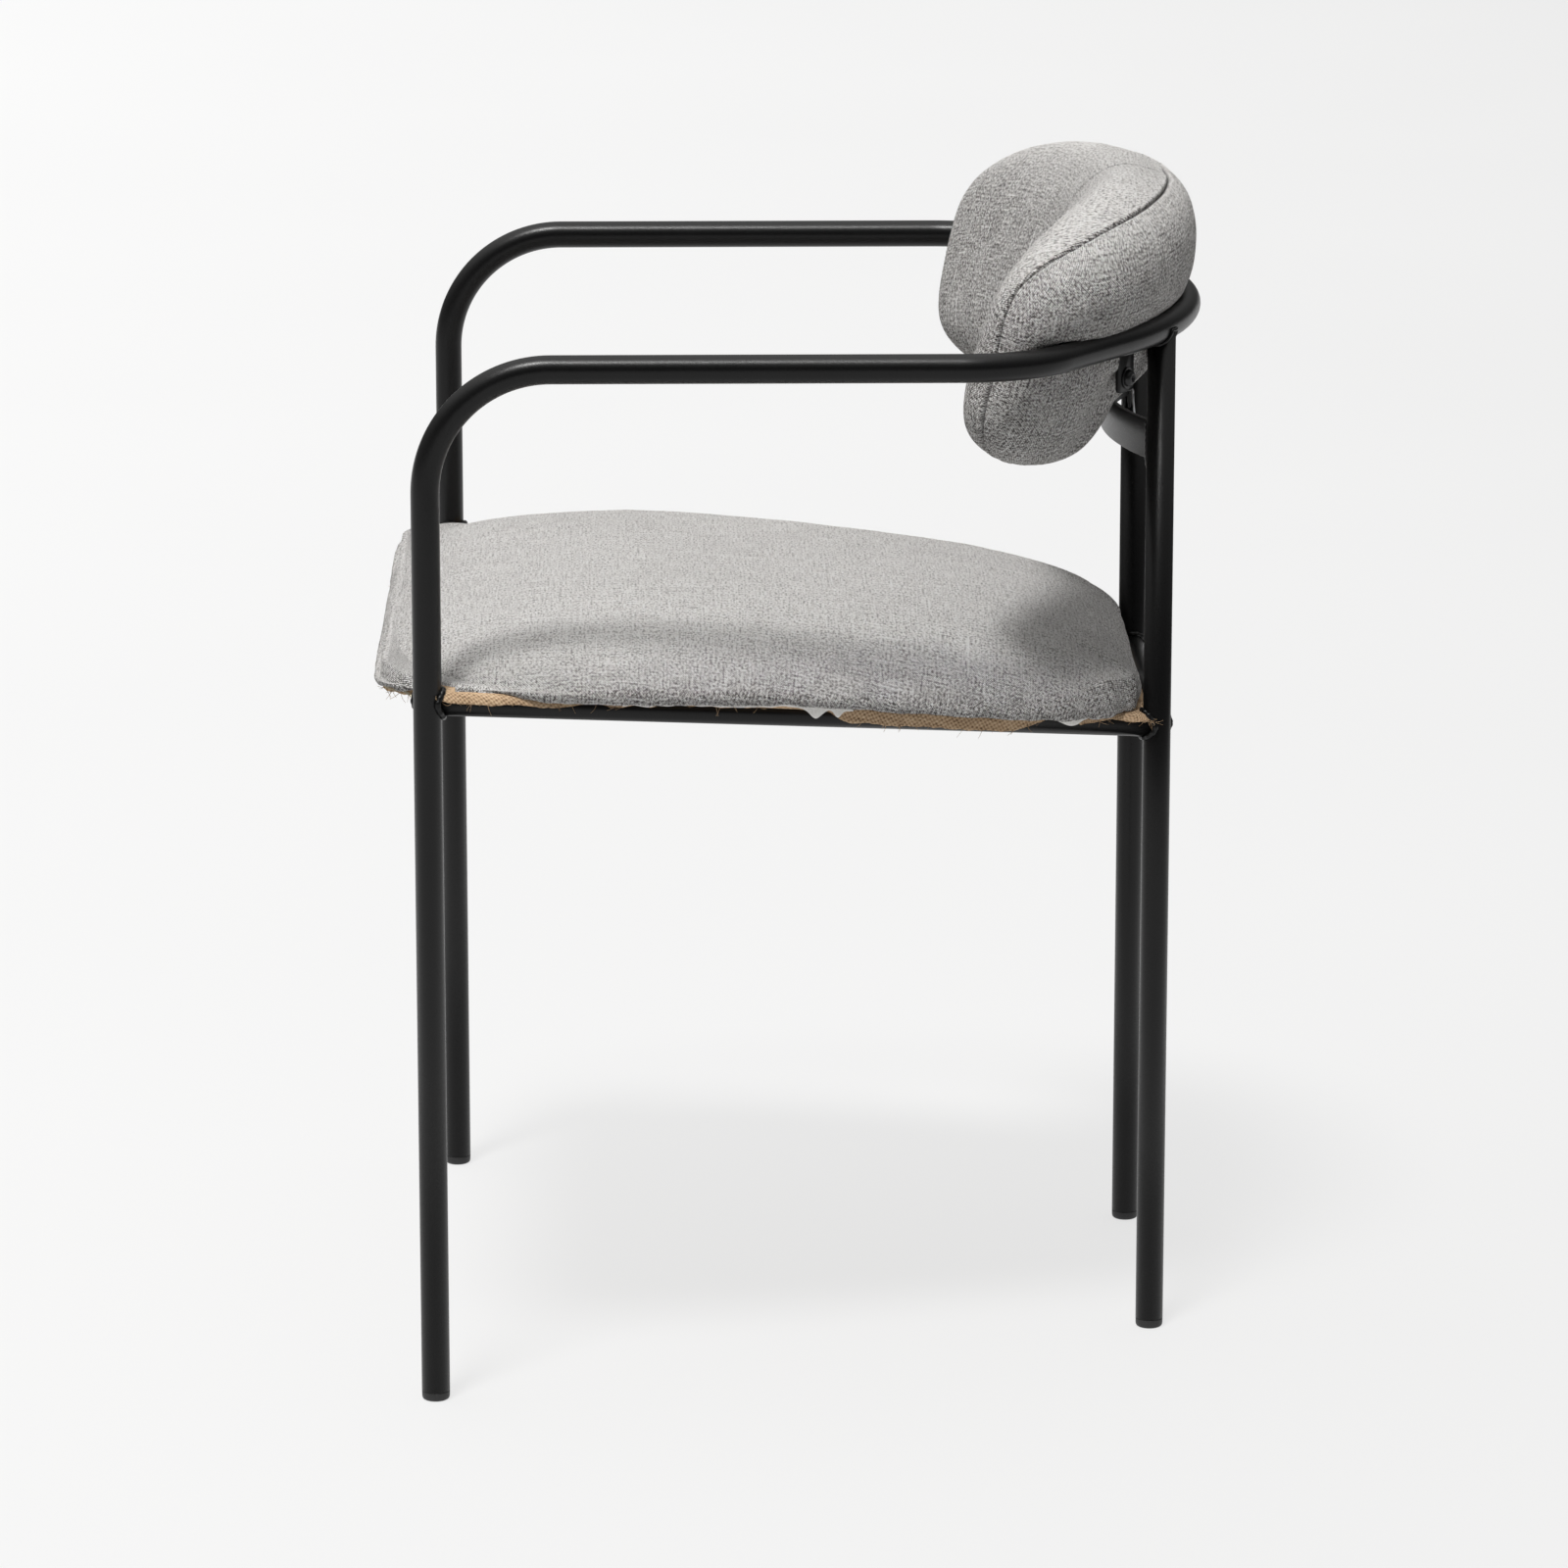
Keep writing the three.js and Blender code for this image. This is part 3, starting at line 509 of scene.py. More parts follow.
def soft_box(width, height, radius, steps=4):
    """Outline of a rectangle with rounded corners, about its middle."""
    out = []
    for cx, cy, a0 in ((1, 1, 0), (-1, 1, 90), (-1, -1, 180), (1, -1, 270)):
        for k in range(steps + 1):
            a = math.radians(a0 + 90 * k / steps)
            out.append((
                cx * (width / 2 - radius) + radius * math.cos(a),
                cy * (height / 2 - radius) + radius * math.sin(a),
            ))
    return out


strap_centre = np.array((0.0, STRAP_FRONT_Y + STRAP_BEND))
strap_reach = math.asin((REAR_LEG[0] - 4.0) / STRAP_BEND)
strap_middle = STRAP_BEND - STRAP_THICK / 2
strap_path, strap_normals = [], []
for a in np.linspace(-strap_reach, strap_reach, 61):
    n = np.array((math.sin(a), -math.cos(a), 0.0))
    strap_path.append(np.array((*strap_centre, (STRAP_BOTTOM + STRAP_TOP) / 2)) + n * strap_middle)
    strap_normals.append(n)
strap_section = soft_box(STRAP_THICK, STRAP_TOP - STRAP_BOTTOM, 1.1)
add_mesh("strap_back", *bar(strap_section, strap_path, strap_normals), coat, "frame_coat", ["back_strap"])

# Fillet welds down both faces of the strap at each leg, flaring under its lower edge.
fillets = []
fillet_bottom = STRAP_BOTTOM - 9.0
for _, s in SIDES:
    for face in (-1.0, 1.0):
        a = s * strap_reach
        n = np.array((math.sin(a), -math.cos(a), 0.0))
        t = np.array((math.cos(a), math.sin(a), 0.0)) * s
        base = np.array((*strap_centre, 0.0)) + n * (strap_middle + face * STRAP_THICK / 2)
        offset = base - on_rear_leg(s, 0.0)
        near = -offset @ t
        reach = near - math.sqrt(max(0.0, near ** 2 - offset @ offset + (TUBE_R + 0.6) ** 2))
        foot_point = base + t * reach
        heights = np.linspace(fillet_bottom, STRAP_TOP + 1.0, 40)
        share = np.clip((heights - fillet_bottom) / 12.0, 0, 1)
        radii = 2.4 * np.sqrt(share) * (1 + 0.07 * np.sin(1.4 * np.arange(40))) + 0.15
        radii[-2:] *= (0.8, 0.4)
        fillets.append(sweep([foot_point + UP * h for h in heights], radii, sides=BEAD_SIDES))
add_mesh("weld_strap", *joined(fillets), coat, "frame_coat")

loop_centre = np.array((0.0, BACK_AXIS_Y - BACK_BEND))
TAB_R = BACK_BEND - 7.0
tab_turn = math.asin(TAB_X / BACK_BEND)


def hex_head(radius, height, socket=2.3, depth=1.6, sides=48):
    """A button head with a hexagon socket, face up, and its shank below."""
    turn = 2 * math.pi * np.arange(sides) / sides
    hexagon = socket / np.cos((turn % (math.pi / 3)) - math.pi / 6) * math.cos(math.pi / 6)
    outline = [(2.9, -5.0), (2.9, 0.0), (radius, 0.0), (radius, 0.35)]
    for a in np.linspace(0.15, 1.5, 8):
        outline.append((
            radius * math.cos(a) * 0.55 + radius * 0.45, 0.35 + (height - 0.35) * math.sin(a),
        ))
    outline += [
        (hexagon + 0.25, height), (hexagon, height - 0.25), (hexagon, height - depth),
        (hexagon * 0.1, height - depth - 0.4),
    ]
    vertices = np.concatenate([level_ring(r, h, sides) for r, h in outline])
    size = len(outline), sides
    return vertices, ring_faces(*size) + end_caps(*size)


def turned_to(vertices, origin, direction):
    """Points about +Z turned so that +Z is direction, and moved to origin."""
    d = unit(direction)
    helper = np.array((0.0, 0.0, 1.0)) if abs(d[2]) < 0.9 else np.array((1.0, 0.0, 0.0))
    x = unit(np.cross(helper, d))
    y = np.cross(d, x)
    v = np.asarray(vertices)
    return v[:, :1] * x + v[:, 1:2] * y + v[:, 2:3] * d + np.asarray(origin)


def add_fastener(kind, place, word, shape, origin, direction):
    add_mesh(f"{kind}_{place}_{word}", turned_to(shape[0], origin, direction), shape[1], bolt_mat,
             "black_fastener", [f"{place}_{kind}_{word}"])


for word, s in SIDES:
    n = np.array((s * math.sin(tab_turn), math.cos(tab_turn), 0.0))
    t = np.array((n[1], -n[0], 0.0))
    base = np.array((*loop_centre, 0.0))
    outline = soft_box(20.0, ARM_Z - 4.0 - TAB_BOTTOM, 3.0, 6)
    middle = base + n * TAB_R + UP * (ARM_Z - 4.0 + TAB_BOTTOM) / 2
    rings = []
    for depth, inset in ((-1.5, 0.5), (-1.1, 0.0), (1.1, 0.0), (1.5, 0.5)):
        scale = np.array((1 - inset / 10.0, 1 - inset / 17.0))
        rings.append([middle + n * depth + t * a * scale[0] + UP * b * scale[1] for a, b in outline])
    count = len(outline)
    tab = (np.array(rings).reshape(-1, 3), ring_faces(4, count) + end_caps(4, count))
    run = [base + n * (TAB_R + 1.5) + UP * (ARM_Z - 7.6) + t * x for x in np.linspace(-9, 9, 24)]
    bead = sweep(run, [1.7 * (1 + 0.1 * math.sin(1.3 * k)) for k in range(24)], sides=BEAD_SIDES)
    add_mesh(f"tab_back_{word}", *joined([tab, bead]), coat, "frame_coat", [f"back_tab_{word}"])
    face_point = base + n * (TAB_R + 1.5) + UP * BOLT_Z
    washer = lathe(rounded([(0, 0.0), (7.0, 0.0), (7.0, 1.2), (0, 1.2)], 0.3))
    add_fastener("washer", "back", word, washer, face_point + n * 0.1, n)
    add_fastener("bolt", "back", word, hex_head(5.5, 3.3), face_point + n * 1.35, n)
    screw_at = (s * 25.0, STRAP_FRONT_Y + STRAP_THICK + 1.9, STRAP_BOTTOM + 18.0)
    add_fastener("screw", "strap", word, hex_head(4.0, 3.0, 1.7, 1.3), screw_at, (0, 1, 0))

glide = lathe(rounded([
    (0, 0.0), (TUBE_R - 0.2, 0.0), (TUBE_R, FOOT_Z), (TUBE_R - 1.6, FOOT_Z + 0.1), (TUBE_R - 1.8, 14.0),
    (0, 14.0),
], 2.4))
for end, (x, y) in (("front", FRONT_LEG), ("rear", REAR_LEG)):
    for word, s in SIDES:
        add_mesh(f"glide_{end}_{word}", glide[0] + (s * x, y, 0.0), glide[1], glide_mat,
                 "glide_plastic", [f"foot_glide_{end}_{word}"])


# ---- Cloth and cushion helpers ----

def resampled(points, spacing):
    """A closed polyline's points at an even spacing, and their distance along it."""
    line = np.concatenate([points, points[:1]])
    steps = np.linalg.norm(np.diff(line, axis=0), axis=1)
    length = np.concatenate([[0.0], np.cumsum(steps)])
    count = max(8, int(round(length[-1] / spacing)))
    at = np.linspace(0.0, length[-1], count, endpoint=False)
    return np.column_stack([np.interp(at, length, line[:, k]) for k in range(line.shape[1])]), at


def wobble(points, size, seed):
    """Smooth noise from -1 to 1 at points in millimetres, with features of this size."""
    flat = np.asarray(points, float).reshape(-1, np.shape(points)[-1]) / size
    if flat.shape[1] == 2:
        flat = np.column_stack([flat, np.zeros(len(flat))])
    values = [noise.noise(Vector((float(p[0]) + seed, float(p[1]), float(p[2])))) for p in flat]
    return np.array(values).reshape(np.shape(points)[:-1])


def grid_normals(grid):
    down = np.gradient(grid, axis=0)
    across = np.roll(grid, -1, 1) - np.roll(grid, 1, 1)
    normal = np.cross(down, across)
    normal /= np.linalg.norm(normal, axis=2)[..., None] + 1e-12
    middle = grid.reshape(-1, 3).mean(0)
    return normal if np.sum(normal * (grid - middle)) > 0 else -normal


def path_lengths(grid):
    """Length over the surface from the first ring, down each column."""
    steps = np.linalg.norm(np.diff(grid, axis=0), axis=2)
    return np.concatenate([np.zeros((1, grid.shape[1])), np.cumsum(steps, axis=0)])


def blurred(field, rings, columns):
    """Gaussian blur of a ring grid; rings end, columns wrap round."""
    def kernel(s):
        k = np.exp(-0.5 * (np.arange(-3 * s, 3 * s + 1) / s) ** 2)
        return k / k.sum()
    k = kernel(columns)
    half = len(k) // 2
    wrapped = np.concatenate([field[:, -half:], field, field[:, :half]], axis=1)
    out = np.stack([np.convolve(row, k, "valid") for row in wrapped])
    k = kernel(rings)
    half = len(k) // 2
    padded = np.concatenate([np.repeat(out[:1], half, 0), out, np.repeat(out[-1:], half, 0)])
    return np.stack([np.convolve(column, k, "valid") for column in padded.T]).T


def pressed_by_bars(grid, normal, segments, radius):
    """How far each point has to move in along its normal to clear round bars."""
    depth = np.zeros(grid.shape[:2])
    for a, b in segments:
        span = b - a
        length = np.linalg.norm(span)
        d = span / length
        along = (grid - a) @ d
        q = grid - a - np.clip(along, 0, length)[..., None] * d
        m = -normal + (normal @ d)[..., None] * d
        qa = np.sum(m * m, axis=2)
        qb = np.sum(q * m, axis=2)
        qc = np.sum(q * q, axis=2) - radius ** 2
        inside = (qc < 0) & (qa > 0.08)
        t = (-qb + np.sqrt(np.maximum(0.0, qb * qb - qa * qc))) / np.maximum(qa, 0.08)
        depth = np.maximum(depth, np.where(inside, t, 0.0))
    return np.minimum(depth, 30.0)


def radial_press(grid, normal, centre, limit, sign, least):
    """How far each point has to move in to stay inside (sign 1) or outside (-1) a radius."""
    level = grid[..., :2] - centre
    far = np.linalg.norm(level, axis=2)
    ease = np.maximum(least, sign * np.sum(normal[..., :2] * level / far[..., None], axis=2))
    return np.maximum(0.0, sign * (far - limit)) / ease


def unrolled(grid, centre, outward):
    """Each point's place on the flat cloth: its plan, moved out by the length that the drop takes."""
    length = path_lengths(grid)
    reach = np.linalg.norm(grid[..., :2] - centre, axis=2)
    surplus = np.maximum.accumulate(length - (reach - reach[:1]), axis=0)
    return grid[..., :2] + surplus[..., None] * outward[None]


def hump(distance, height, width):
    """A rounded ridge's height at a distance from its line."""
    return height * np.exp(-(distance / width) ** 2)


# ---- Back cushion ----

BACK_R, BACK_Y, BACK_Z = 340.0, 211.0, 671.0
BACK_L, BACK_H, BACK_T = 249.0, 85.5, 46.0
BACK_TILT, BACK_DROOP, SWELL = math.radians(18.0), 15.0, 0.13
SECTION_POWER = 2.7
FOAM_INSET = 5.0  # from the outside of a cover to its foam
SEAM_DEPTH = -12.0


def back_point(s, v, w):
    w = w * (1 + SWELL * (s / BACK_L) ** 2)
    outward = v * math.sin(BACK_TILT) - w * math.cos(BACK_TILT)
    angle, radius = s / BACK_R, BACK_R + outward
    height = BACK_Z + v * math.cos(BACK_TILT) + w * math.sin(BACK_TILT) - BACK_DROOP * (s / BACK_L) ** 2
    return np.stack([radius * np.sin(angle), BACK_Y - BACK_R + radius * np.cos(angle), height], axis=-1)


def back_outline(alpha):
    power = np.where(np.sin(alpha) > 0, 3.4, 3.6)
    k = (np.abs(np.cos(alpha)) ** power + np.abs(np.sin(alpha)) ** power) ** (-1 / power)
    return np.column_stack([np.cos(alpha) * k * BACK_L, np.sin(alpha) * k * BACK_H])


fine = np.linspace(0, 2 * math.pi, 4001)
rim_length = np.concatenate([[0], np.cumsum(np.linalg.norm(np.diff(back_outline(fine), axis=0), axis=1))])
even = np.interp(np.arange(0, rim_length[-1] - 1.0, 2.2), rim_length, fine)
near_seam = np.array([0.0, 0.5, 1.0, 1.5, 2.1, 2.9, 4.0]) / BACK_L
seam_ends = np.array([math.pi / 2, 3 * math.pi / 2])
extra = np.concatenate([end + k * near_seam for end in seam_ends for k in (-1, 1)])
clear = np.min(np.abs(even[:, None] - seam_ends), axis=1) > 4.8 / BACK_L
alpha = np.unique(np.round(np.concatenate([even[clear], extra]), 9))
rim = back_outline(alpha)
rim_at = np.interp(alpha, fine, rim_length)

turns = np.radians(np.linspace(89.4, -89.4, 3001))


def section(turn):
    reach = np.cos(turn) ** (2 / SECTION_POWER)
    depth = np.sign(turn) * np.abs(np.sin(turn)) ** (2 / SECTION_POWER) * BACK_T
    return reach, depth


reach, depth = section(turns)
run = np.concatenate([[0], np.cumsum(np.hypot(np.diff(reach * 150.0), np.diff(depth)))])
seam_run = float(np.interp(-SEAM_DEPTH, -depth, run))
stations = np.arange(0, run[-1], 2.1)
stations = stations[np.abs(stations - seam_run) > 5.6]
offsets = np.array([0.0, 0.45, 0.9, 1.4, 2.0, 2.8, 3.8, 5.0])
stations = np.unique(np.concatenate([stations, seam_run + offsets, seam_run - offsets]))
turns = np.interp(stations, run, turns)
seam_ring = int(np.argmin(np.abs(stations - seam_run)))

# The seam lies behind the middle at the top and comes forward round the ends and below.
end_share = np.clip(np.abs(rim[:, 0]) / 235.0, 0, 1) ** 3 * (0.55 + 0.45 * np.clip(rim[:, 1] / 55.0, 0, 1))
low_share = 0.5 * np.clip(-rim[:, 1] / BACK_H, 0, 1)
seam_depth = SEAM_DEPTH + 20.0 * np.maximum(end_share, low_share)
seam_turn = np.sign(seam_depth) * np.arcsin((np.abs(seam_depth) / BACK_T) ** (SECTION_POWER / 2))
near = np.cos(np.clip((turns - turns[seam_ring]) / math.radians(60.0), -1, 1) * math.pi / 2) ** 2
turns = turns[:, None] + near[:, None] * (seam_turn - turns[seam_ring])[None]
reach, depth = section(turns)
flat_s = reach * rim[None, :, 0]
flat_v = reach * rim[None, :, 1]
hollow = np.clip((-flat_v - 5.0) / 38.0, 0, 1) ** 2 * np.exp(-(flat_s / 135.0) ** 4)
depth = np.where(depth < 0, depth * (1 - 0.45 * hollow), depth)
grid = back_point(flat_s, flat_v, depth)
normal = grid_normals(grid)
length = path_lengths(grid)
front_first = np.arange(len(stations))[:, None] <= seam_ring
flat_length = np.hypot(flat_s, flat_v) + 1e-6
over = np.where(front_first, length, length[-1] - length)
weave_back = np.stack([flat_s / flat_length * over, flat_v / flat_length * over], axis=-1)
weave_back[~front_first[:, 0]] += (913.0, 377.0)

from_seam = length - length[seam_ring]
around = np.stack([np.broadcast_to(rim_at, from_seam.shape), 40.0 * np.sign(from_seam)], axis=-1)
lift = 0.9 * wobble(grid, 62.0, 3.0) + 0.35 * wobble(grid, 21.0, 8.0)
pucker = wobble(around, 8.0, 5.0)
gather = np.exp(-np.abs(from_seam) / 7.0)
lift += 0.75 * pucker * gather * (1 - hump(from_seam, 1.0, 1.4))
lift += hump(np.abs(from_seam) - 2.6, 0.55, 1.5)
lift -= hump(from_seam, 2.6, 1.1)
lift -= hump(from_seam + 5.2, 0.35, 0.7)
middle_seam = np.where(front_first, np.abs(flat_s), 99.0)
up_seam = np.stack([flat_v, 30.0 * np.sign(flat_s)], axis=-1)
lift += 0.6 * wobble(up_seam, 8.0, 9.0) * np.exp(-middle_seam / 6.0) * (1 - hump(middle_seam, 1.0, 1.4))
lift += hump(middle_seam - 2.6, 0.5, 1.5)
lift -= hump(middle_seam, 2.6, 1.1)
lift -= hump(middle_seam, 2.2, 14.0) * np.where(front_first, reach ** 2, 0.0)

loop_segments = [(a, b) for a, b in zip(LOOP, LOOP[1:]) if max(a[1], b[1]) > 40.0 and a[2] > 600.0]
leg_segments = [(on_rear_leg(s, 400.0), on_rear_leg(s, ARM_Z)) for _, s in SIDES]
press = pressed_by_bars(grid, normal, loop_segments + leg_segments, TUBE_R + 0.7)
height = grid[..., 2]

# Its lower rear draws in over the strap's ends.
limit = 288.0 - 26.0 * np.clip((645.0 - height) / 60.0, 0, 1) ** 0.9
low_rear = (height < 645.0) & (grid[..., 1] > 120.0)
inner = np.clip((190.0 - np.abs(flat_s)) / 45.0, 0, 1)
drawn = np.minimum(radial_press(grid, normal, loop_centre, limit, 1, 0.45), 11.0) * inner
press = np.maximum(press, np.where(low_rear, drawn, 0.0))

at_strap = (height > STRAP_BOTTOM - 2) & (height < STRAP_TOP + 1) & (np.abs(grid[..., 0]) < 116)
dent = radial_press(grid, normal, strap_centre, STRAP_BEND + 0.7, -1, 0.4)
press = np.maximum(press, np.where(at_strap, dent, 0.0))

level = grid[..., :2] - loop_centre
round_loop = np.abs(np.arctan2(level[..., 0], level[..., 1]))
off_tab = np.abs(round_loop - tab_turn) * np.linalg.norm(level, axis=2)
at_tab = (off_tab < 11.5) & (height > TAB_BOTTOM - 1.5) & (height < ARM_Z)
dent = radial_press(grid, normal, loop_centre, TAB_R - 2.1, 1, 0.4)
press = np.maximum(press, np.where(at_tab, dent, 0.0))

press = np.minimum(press, 26.0)
soft = blurred(press, 4, 4)
press = np.maximum(press, 0.92 * np.maximum(soft, blurred(press, 8, 7)))
lift = np.where(press > 0.4, np.minimum(lift, 0.0), lift)
grid = grid + normal * (lift - press)[..., None]

weave_flat = np.concatenate([weave_back.reshape(-1, 2), [[0.0, 0.0], [913.0, 377.0]]])
back_cushion = add_mesh(
    "cushion_back", *closed_rings(grid), seat_linen, "linen",
    ["back_cover_front_left", "back_cover_front_right", "back_cover_rear"], weave_flat,
)
# The seams' mask, used to darken the cover along them as painted shade in the grooves.
at_seam = np.maximum(hump(from_seam, 1.0, 0.9), hump(middle_seam, 1.0, 1.5))
seam_shade_marks = back_cushion.data.attributes.new("seam", "FLOAT", "POINT")
seam_shade_marks.data.foreach_set("value", np.append(at_seam.ravel(), [1.0, 0.0]).astype(np.float32))

# The foam inside follows the cover, in front of the board and behind it.
board_ring = seam_ring - 4
foam = grid - grid_normals(grid) * FOAM_INSET
for word, part in (("front", foam[:board_ring]), ("rear", foam[board_ring + 3:])):
    add_mesh(f"foam_back_{word}", *closed_rings(part), foam_mat, "foam", [f"back_foam_{word}"])


# ---- Seat cushion ----

SEAT_FRONT, SEAT_REAR = -183.0, 311.0
SEAT_HALF, SEAT_BREAK, SEAT_REAR_HALF = 252.0, -25.0, 168.0
half_outline = bend_route(
    [(0, SEAT_FRONT, 0), (SEAT_HALF, SEAT_FRONT, 0), (SEAT_HALF, SEAT_BREAK, 0),
     (SEAT_REAR_HALF, SEAT_REAR, 0), (0, SEAT_REAR, 0)], [60.0, 450.0, 110.0],
)[:, :2]
outline = np.concatenate([half_outline, half_outline[1:-1][::-1] * (-1, 1)])
outline, outline_at = resampled(outline, 2.5)
SEAT_CENTRE = np.array((0.0, 60.0))


def front_lip(y):
    return np.clip((-120.0 - y) / 63.0, 0, 1)


def hem_height(y):
    return 459.0 - 0.0907 * (y + 150.0) - 7.0 * front_lip(y) ** 2 + hump(y - 70.0, 5.5, 120.0)


def cover_edge(y):
    return hem_height(y) + 6.0 - 2.0 * front_lip(y)


def rail_top(y):
    """Height of the plane on top of the side rails."""
    share = (y - MEAS_Y - FRONT_LEG[1]) / (REAR_LEG[1] - FRONT_LEG[1])
    return RAIL_FRONT_Z + 8.04 - (RAIL_FRONT_Z - RAIL_REAR_Z) * share


def seat_top(x, y):
    taper = np.maximum(0.0, (y - SEAT_BREAK) / (SEAT_REAR - SEAT_BREAK))
    half = SEAT_HALF + (SEAT_REAR_HALF - SEAT_HALF) * taper
    across = np.clip(np.abs(x) / half, 0, 1)
    along = np.clip((y - (SEAT_FRONT + SEAT_REAR) / 2) / ((SEAT_REAR - SEAT_FRONT) / 2), -1, 1)
    side, end = across ** 3.4, np.abs(along) ** 3.4
    front = np.clip((1 - side) * (1 - end) - 0.35 * side * end, 0, 1) ** 0.68
    rear = (1 - side) ** 0.68 * (1 - np.abs(along) ** 6) ** 0.5
    edge = cover_edge(y)
    crown = 500.0 - (y + 50.0) ** 2 / 4000.0
    return edge + (crown - edge) * np.where(along < 0, front, rear)


side_shares = np.linspace(0.015, 1.0, 2000)
side_heights = seat_top(side_shares * SEAT_HALF, np.full(2000, -25.0))
side_run = np.concatenate([[0], np.cumsum(np.hypot(np.diff(side_shares * SEAT_HALF), np.diff(side_heights)))])
shares = np.interp(np.arange(0, side_run[-1], 2.8), side_run, side_shares)
shares = np.append(shares[shares < 0.9995], 1.0)

out_dir = np.roll(outline, -1, 0) - np.roll(outline, 1, 0)
out_dir = np.column_stack([out_dir[:, 1], -out_dir[:, 0]])
out_dir /= np.linalg.norm(out_dir, axis=1)[:, None]
if np.sum(out_dir * (outline - SEAT_CENTRE)) < 0:
    out_dir = -out_dir
around = np.column_stack([outline_at, np.zeros(len(outline_at))])
hem_wave = 1.5 * wobble(around, 34.0, 2.0) + 0.9 * wobble(around, 11.0, 6.0)


def seat_plan(share):
    """The seat's outline drawn in to a share of its reach."""
    return SEAT_CENTRE + share * (outline - SEAT_CENTRE)


def ring_at(offset, height):
    """A ring at an offset out from the seat's outline."""
    plan = outline + out_dir * np.reshape(offset, (-1, 1))
    return np.column_stack([plan, np.broadcast_to(height, (len(outline),))])


rings = []
for share in shares:
    plan = seat_plan(share)
    rings.append(np.column_stack([plan, seat_top(plan[:, 0], plan[:, 1])]))
hem = hem_height(outline[:, 1]) + hem_wave
edge = cover_edge(outline[:, 1])
for share, offset in ((0.3, -0.1), (0.6, -0.5), (0.85, -1.2), (0.97, -2.0)):
    rings.append(ring_at(offset, edge + (hem - edge) * share))
for offset, rise in ((-2.6, 0.0), (-3.4, 0.3), (-4.0, 1.5)):
    rings.append(ring_at(offset, hem + rise))
for offset, rise in ((-5.0, 1.6), (-9.0, 2.2)):
    rings.append(ring_at(offset, np.maximum(hem + 3.0, rail_top(outline[:, 1]) + rise)))
for share in (0.93, 0.8, 0.55, 0.25, 0.03):
    plan = seat_plan(share)
    rings.append(np.column_stack([plan, rail_top(plan[:, 1]) + 2.2]))
seat = np.array(rings)
top_rings = len(shares)

weave_seat = unrolled(seat, SEAT_CENTRE, out_dir)

share_of = np.concatenate([shares, np.ones(len(rings) - top_rings)])[:, None]
seat_normal = grid_normals(seat)
lift = 1.0 * wobble(seat, 78.0, 1.0) + 0.4 * wobble(seat, 26.0, 4.0)
corner_front = np.exp(-((outline[:, 1] + 150.0) / 42.0) ** 2 - ((np.abs(outline[:, 0]) - 222.0) / 52.0) ** 2)
corner_rear = np.exp(-((outline[:, 1] - 285.0) / 40.0) ** 2 - ((np.abs(outline[:, 0]) - 138.0) / 45.0) ** 2)
folds = np.sin(outline_at / 6.2) * 1.5 + np.sin(outline_at / 3.7 + 1.0) * 0.6
near_rim = np.clip((share_of - 0.80) / 0.16, 0, 1)
lift += (corner_front * 0.8 + corner_rear * 1.3) * folds * near_rim
lift = np.maximum(lift, -0.8)  # the board's corners lie close under the cover
lift[top_rings + 6:] = 0.0
shift = (0, MEAS_Y, 0)
rails = [(front_joint[s] + shift, rear_joint[s] + shift) for _, s in SIDES]
rails.append((front_joint[-1.0] + shift, front_joint[1.0] + shift))
posts = [np.array((s * x, y, 0.0)) + shift for x, y in (FRONT_LEG, REAR_LEG) for _, s in SIDES]
posts = [(post + UP * 380.0, post + UP * 560.0) for post in posts]
press = pressed_by_bars(seat, seat_normal, rails, RAIL_R + 0.6)
press = np.maximum(press, pressed_by_bars(seat, seat_normal, posts, TUBE_R + 0.8))
press = np.minimum(np.maximum(press, 0.85 * blurred(press, 1, 4)), 12.0)
seat = seat + seat_normal * (lift - press)[..., None]
seat[..., 1] -= MEAS_Y
weave_flat = np.concatenate([weave_seat.reshape(-1, 2), [SEAT_CENTRE, SEAT_CENTRE]])
seat_cushion = add_mesh(
    "cushion_seat", *closed_rings(seat), seat_linen, "linen", ["seat_cover"], weave_flat,
)

# The foam follows the cover from inside and stands on the board.
foam = (seat - grid_normals(seat) * FOAM_INSET)[:top_rings - 2]
plan = seat_plan(0.84)
board_top = np.column_stack([plan[:, 0], plan[:, 1] - MEAS_Y, rail_top(plan[:, 1]) + 10.5])
foam = np.concatenate([foam, [board_top]])
add_mesh("foam_seat", *closed_rings(foam), foam_mat, "foam", ["seat_foam"])


# ---- Burlap and lining under the seat ----

def edge_hang():
    """How far the burlap hangs below the cover round the edge, by place."""
    x, y = outline[:, 0], outline[:, 1]

    def stretch(a, b):
        return 1 / (1 + np.exp(-(y - a) / 3.5)) / (1 + np.exp((y - b) / 3.5))
    near = 5.0 * stretch(-142, -62) + 7.5 * stretch(108, 232)
    far = 4.0 * stretch(-120, -40) + 5.5 * stretch(40, 170)
    ends = np.where(y < -150, 1.5, np.where(y > 270, 2.5, 0.0))
    drop = np.where(x > 0, near, far) + ends + 1.2
    drop = drop + (1.6 * wobble(around, 17.0, 12.0) + 0.9 * wobble(around, 4.5, 15.0))
    return np.maximum(drop, 0.4)


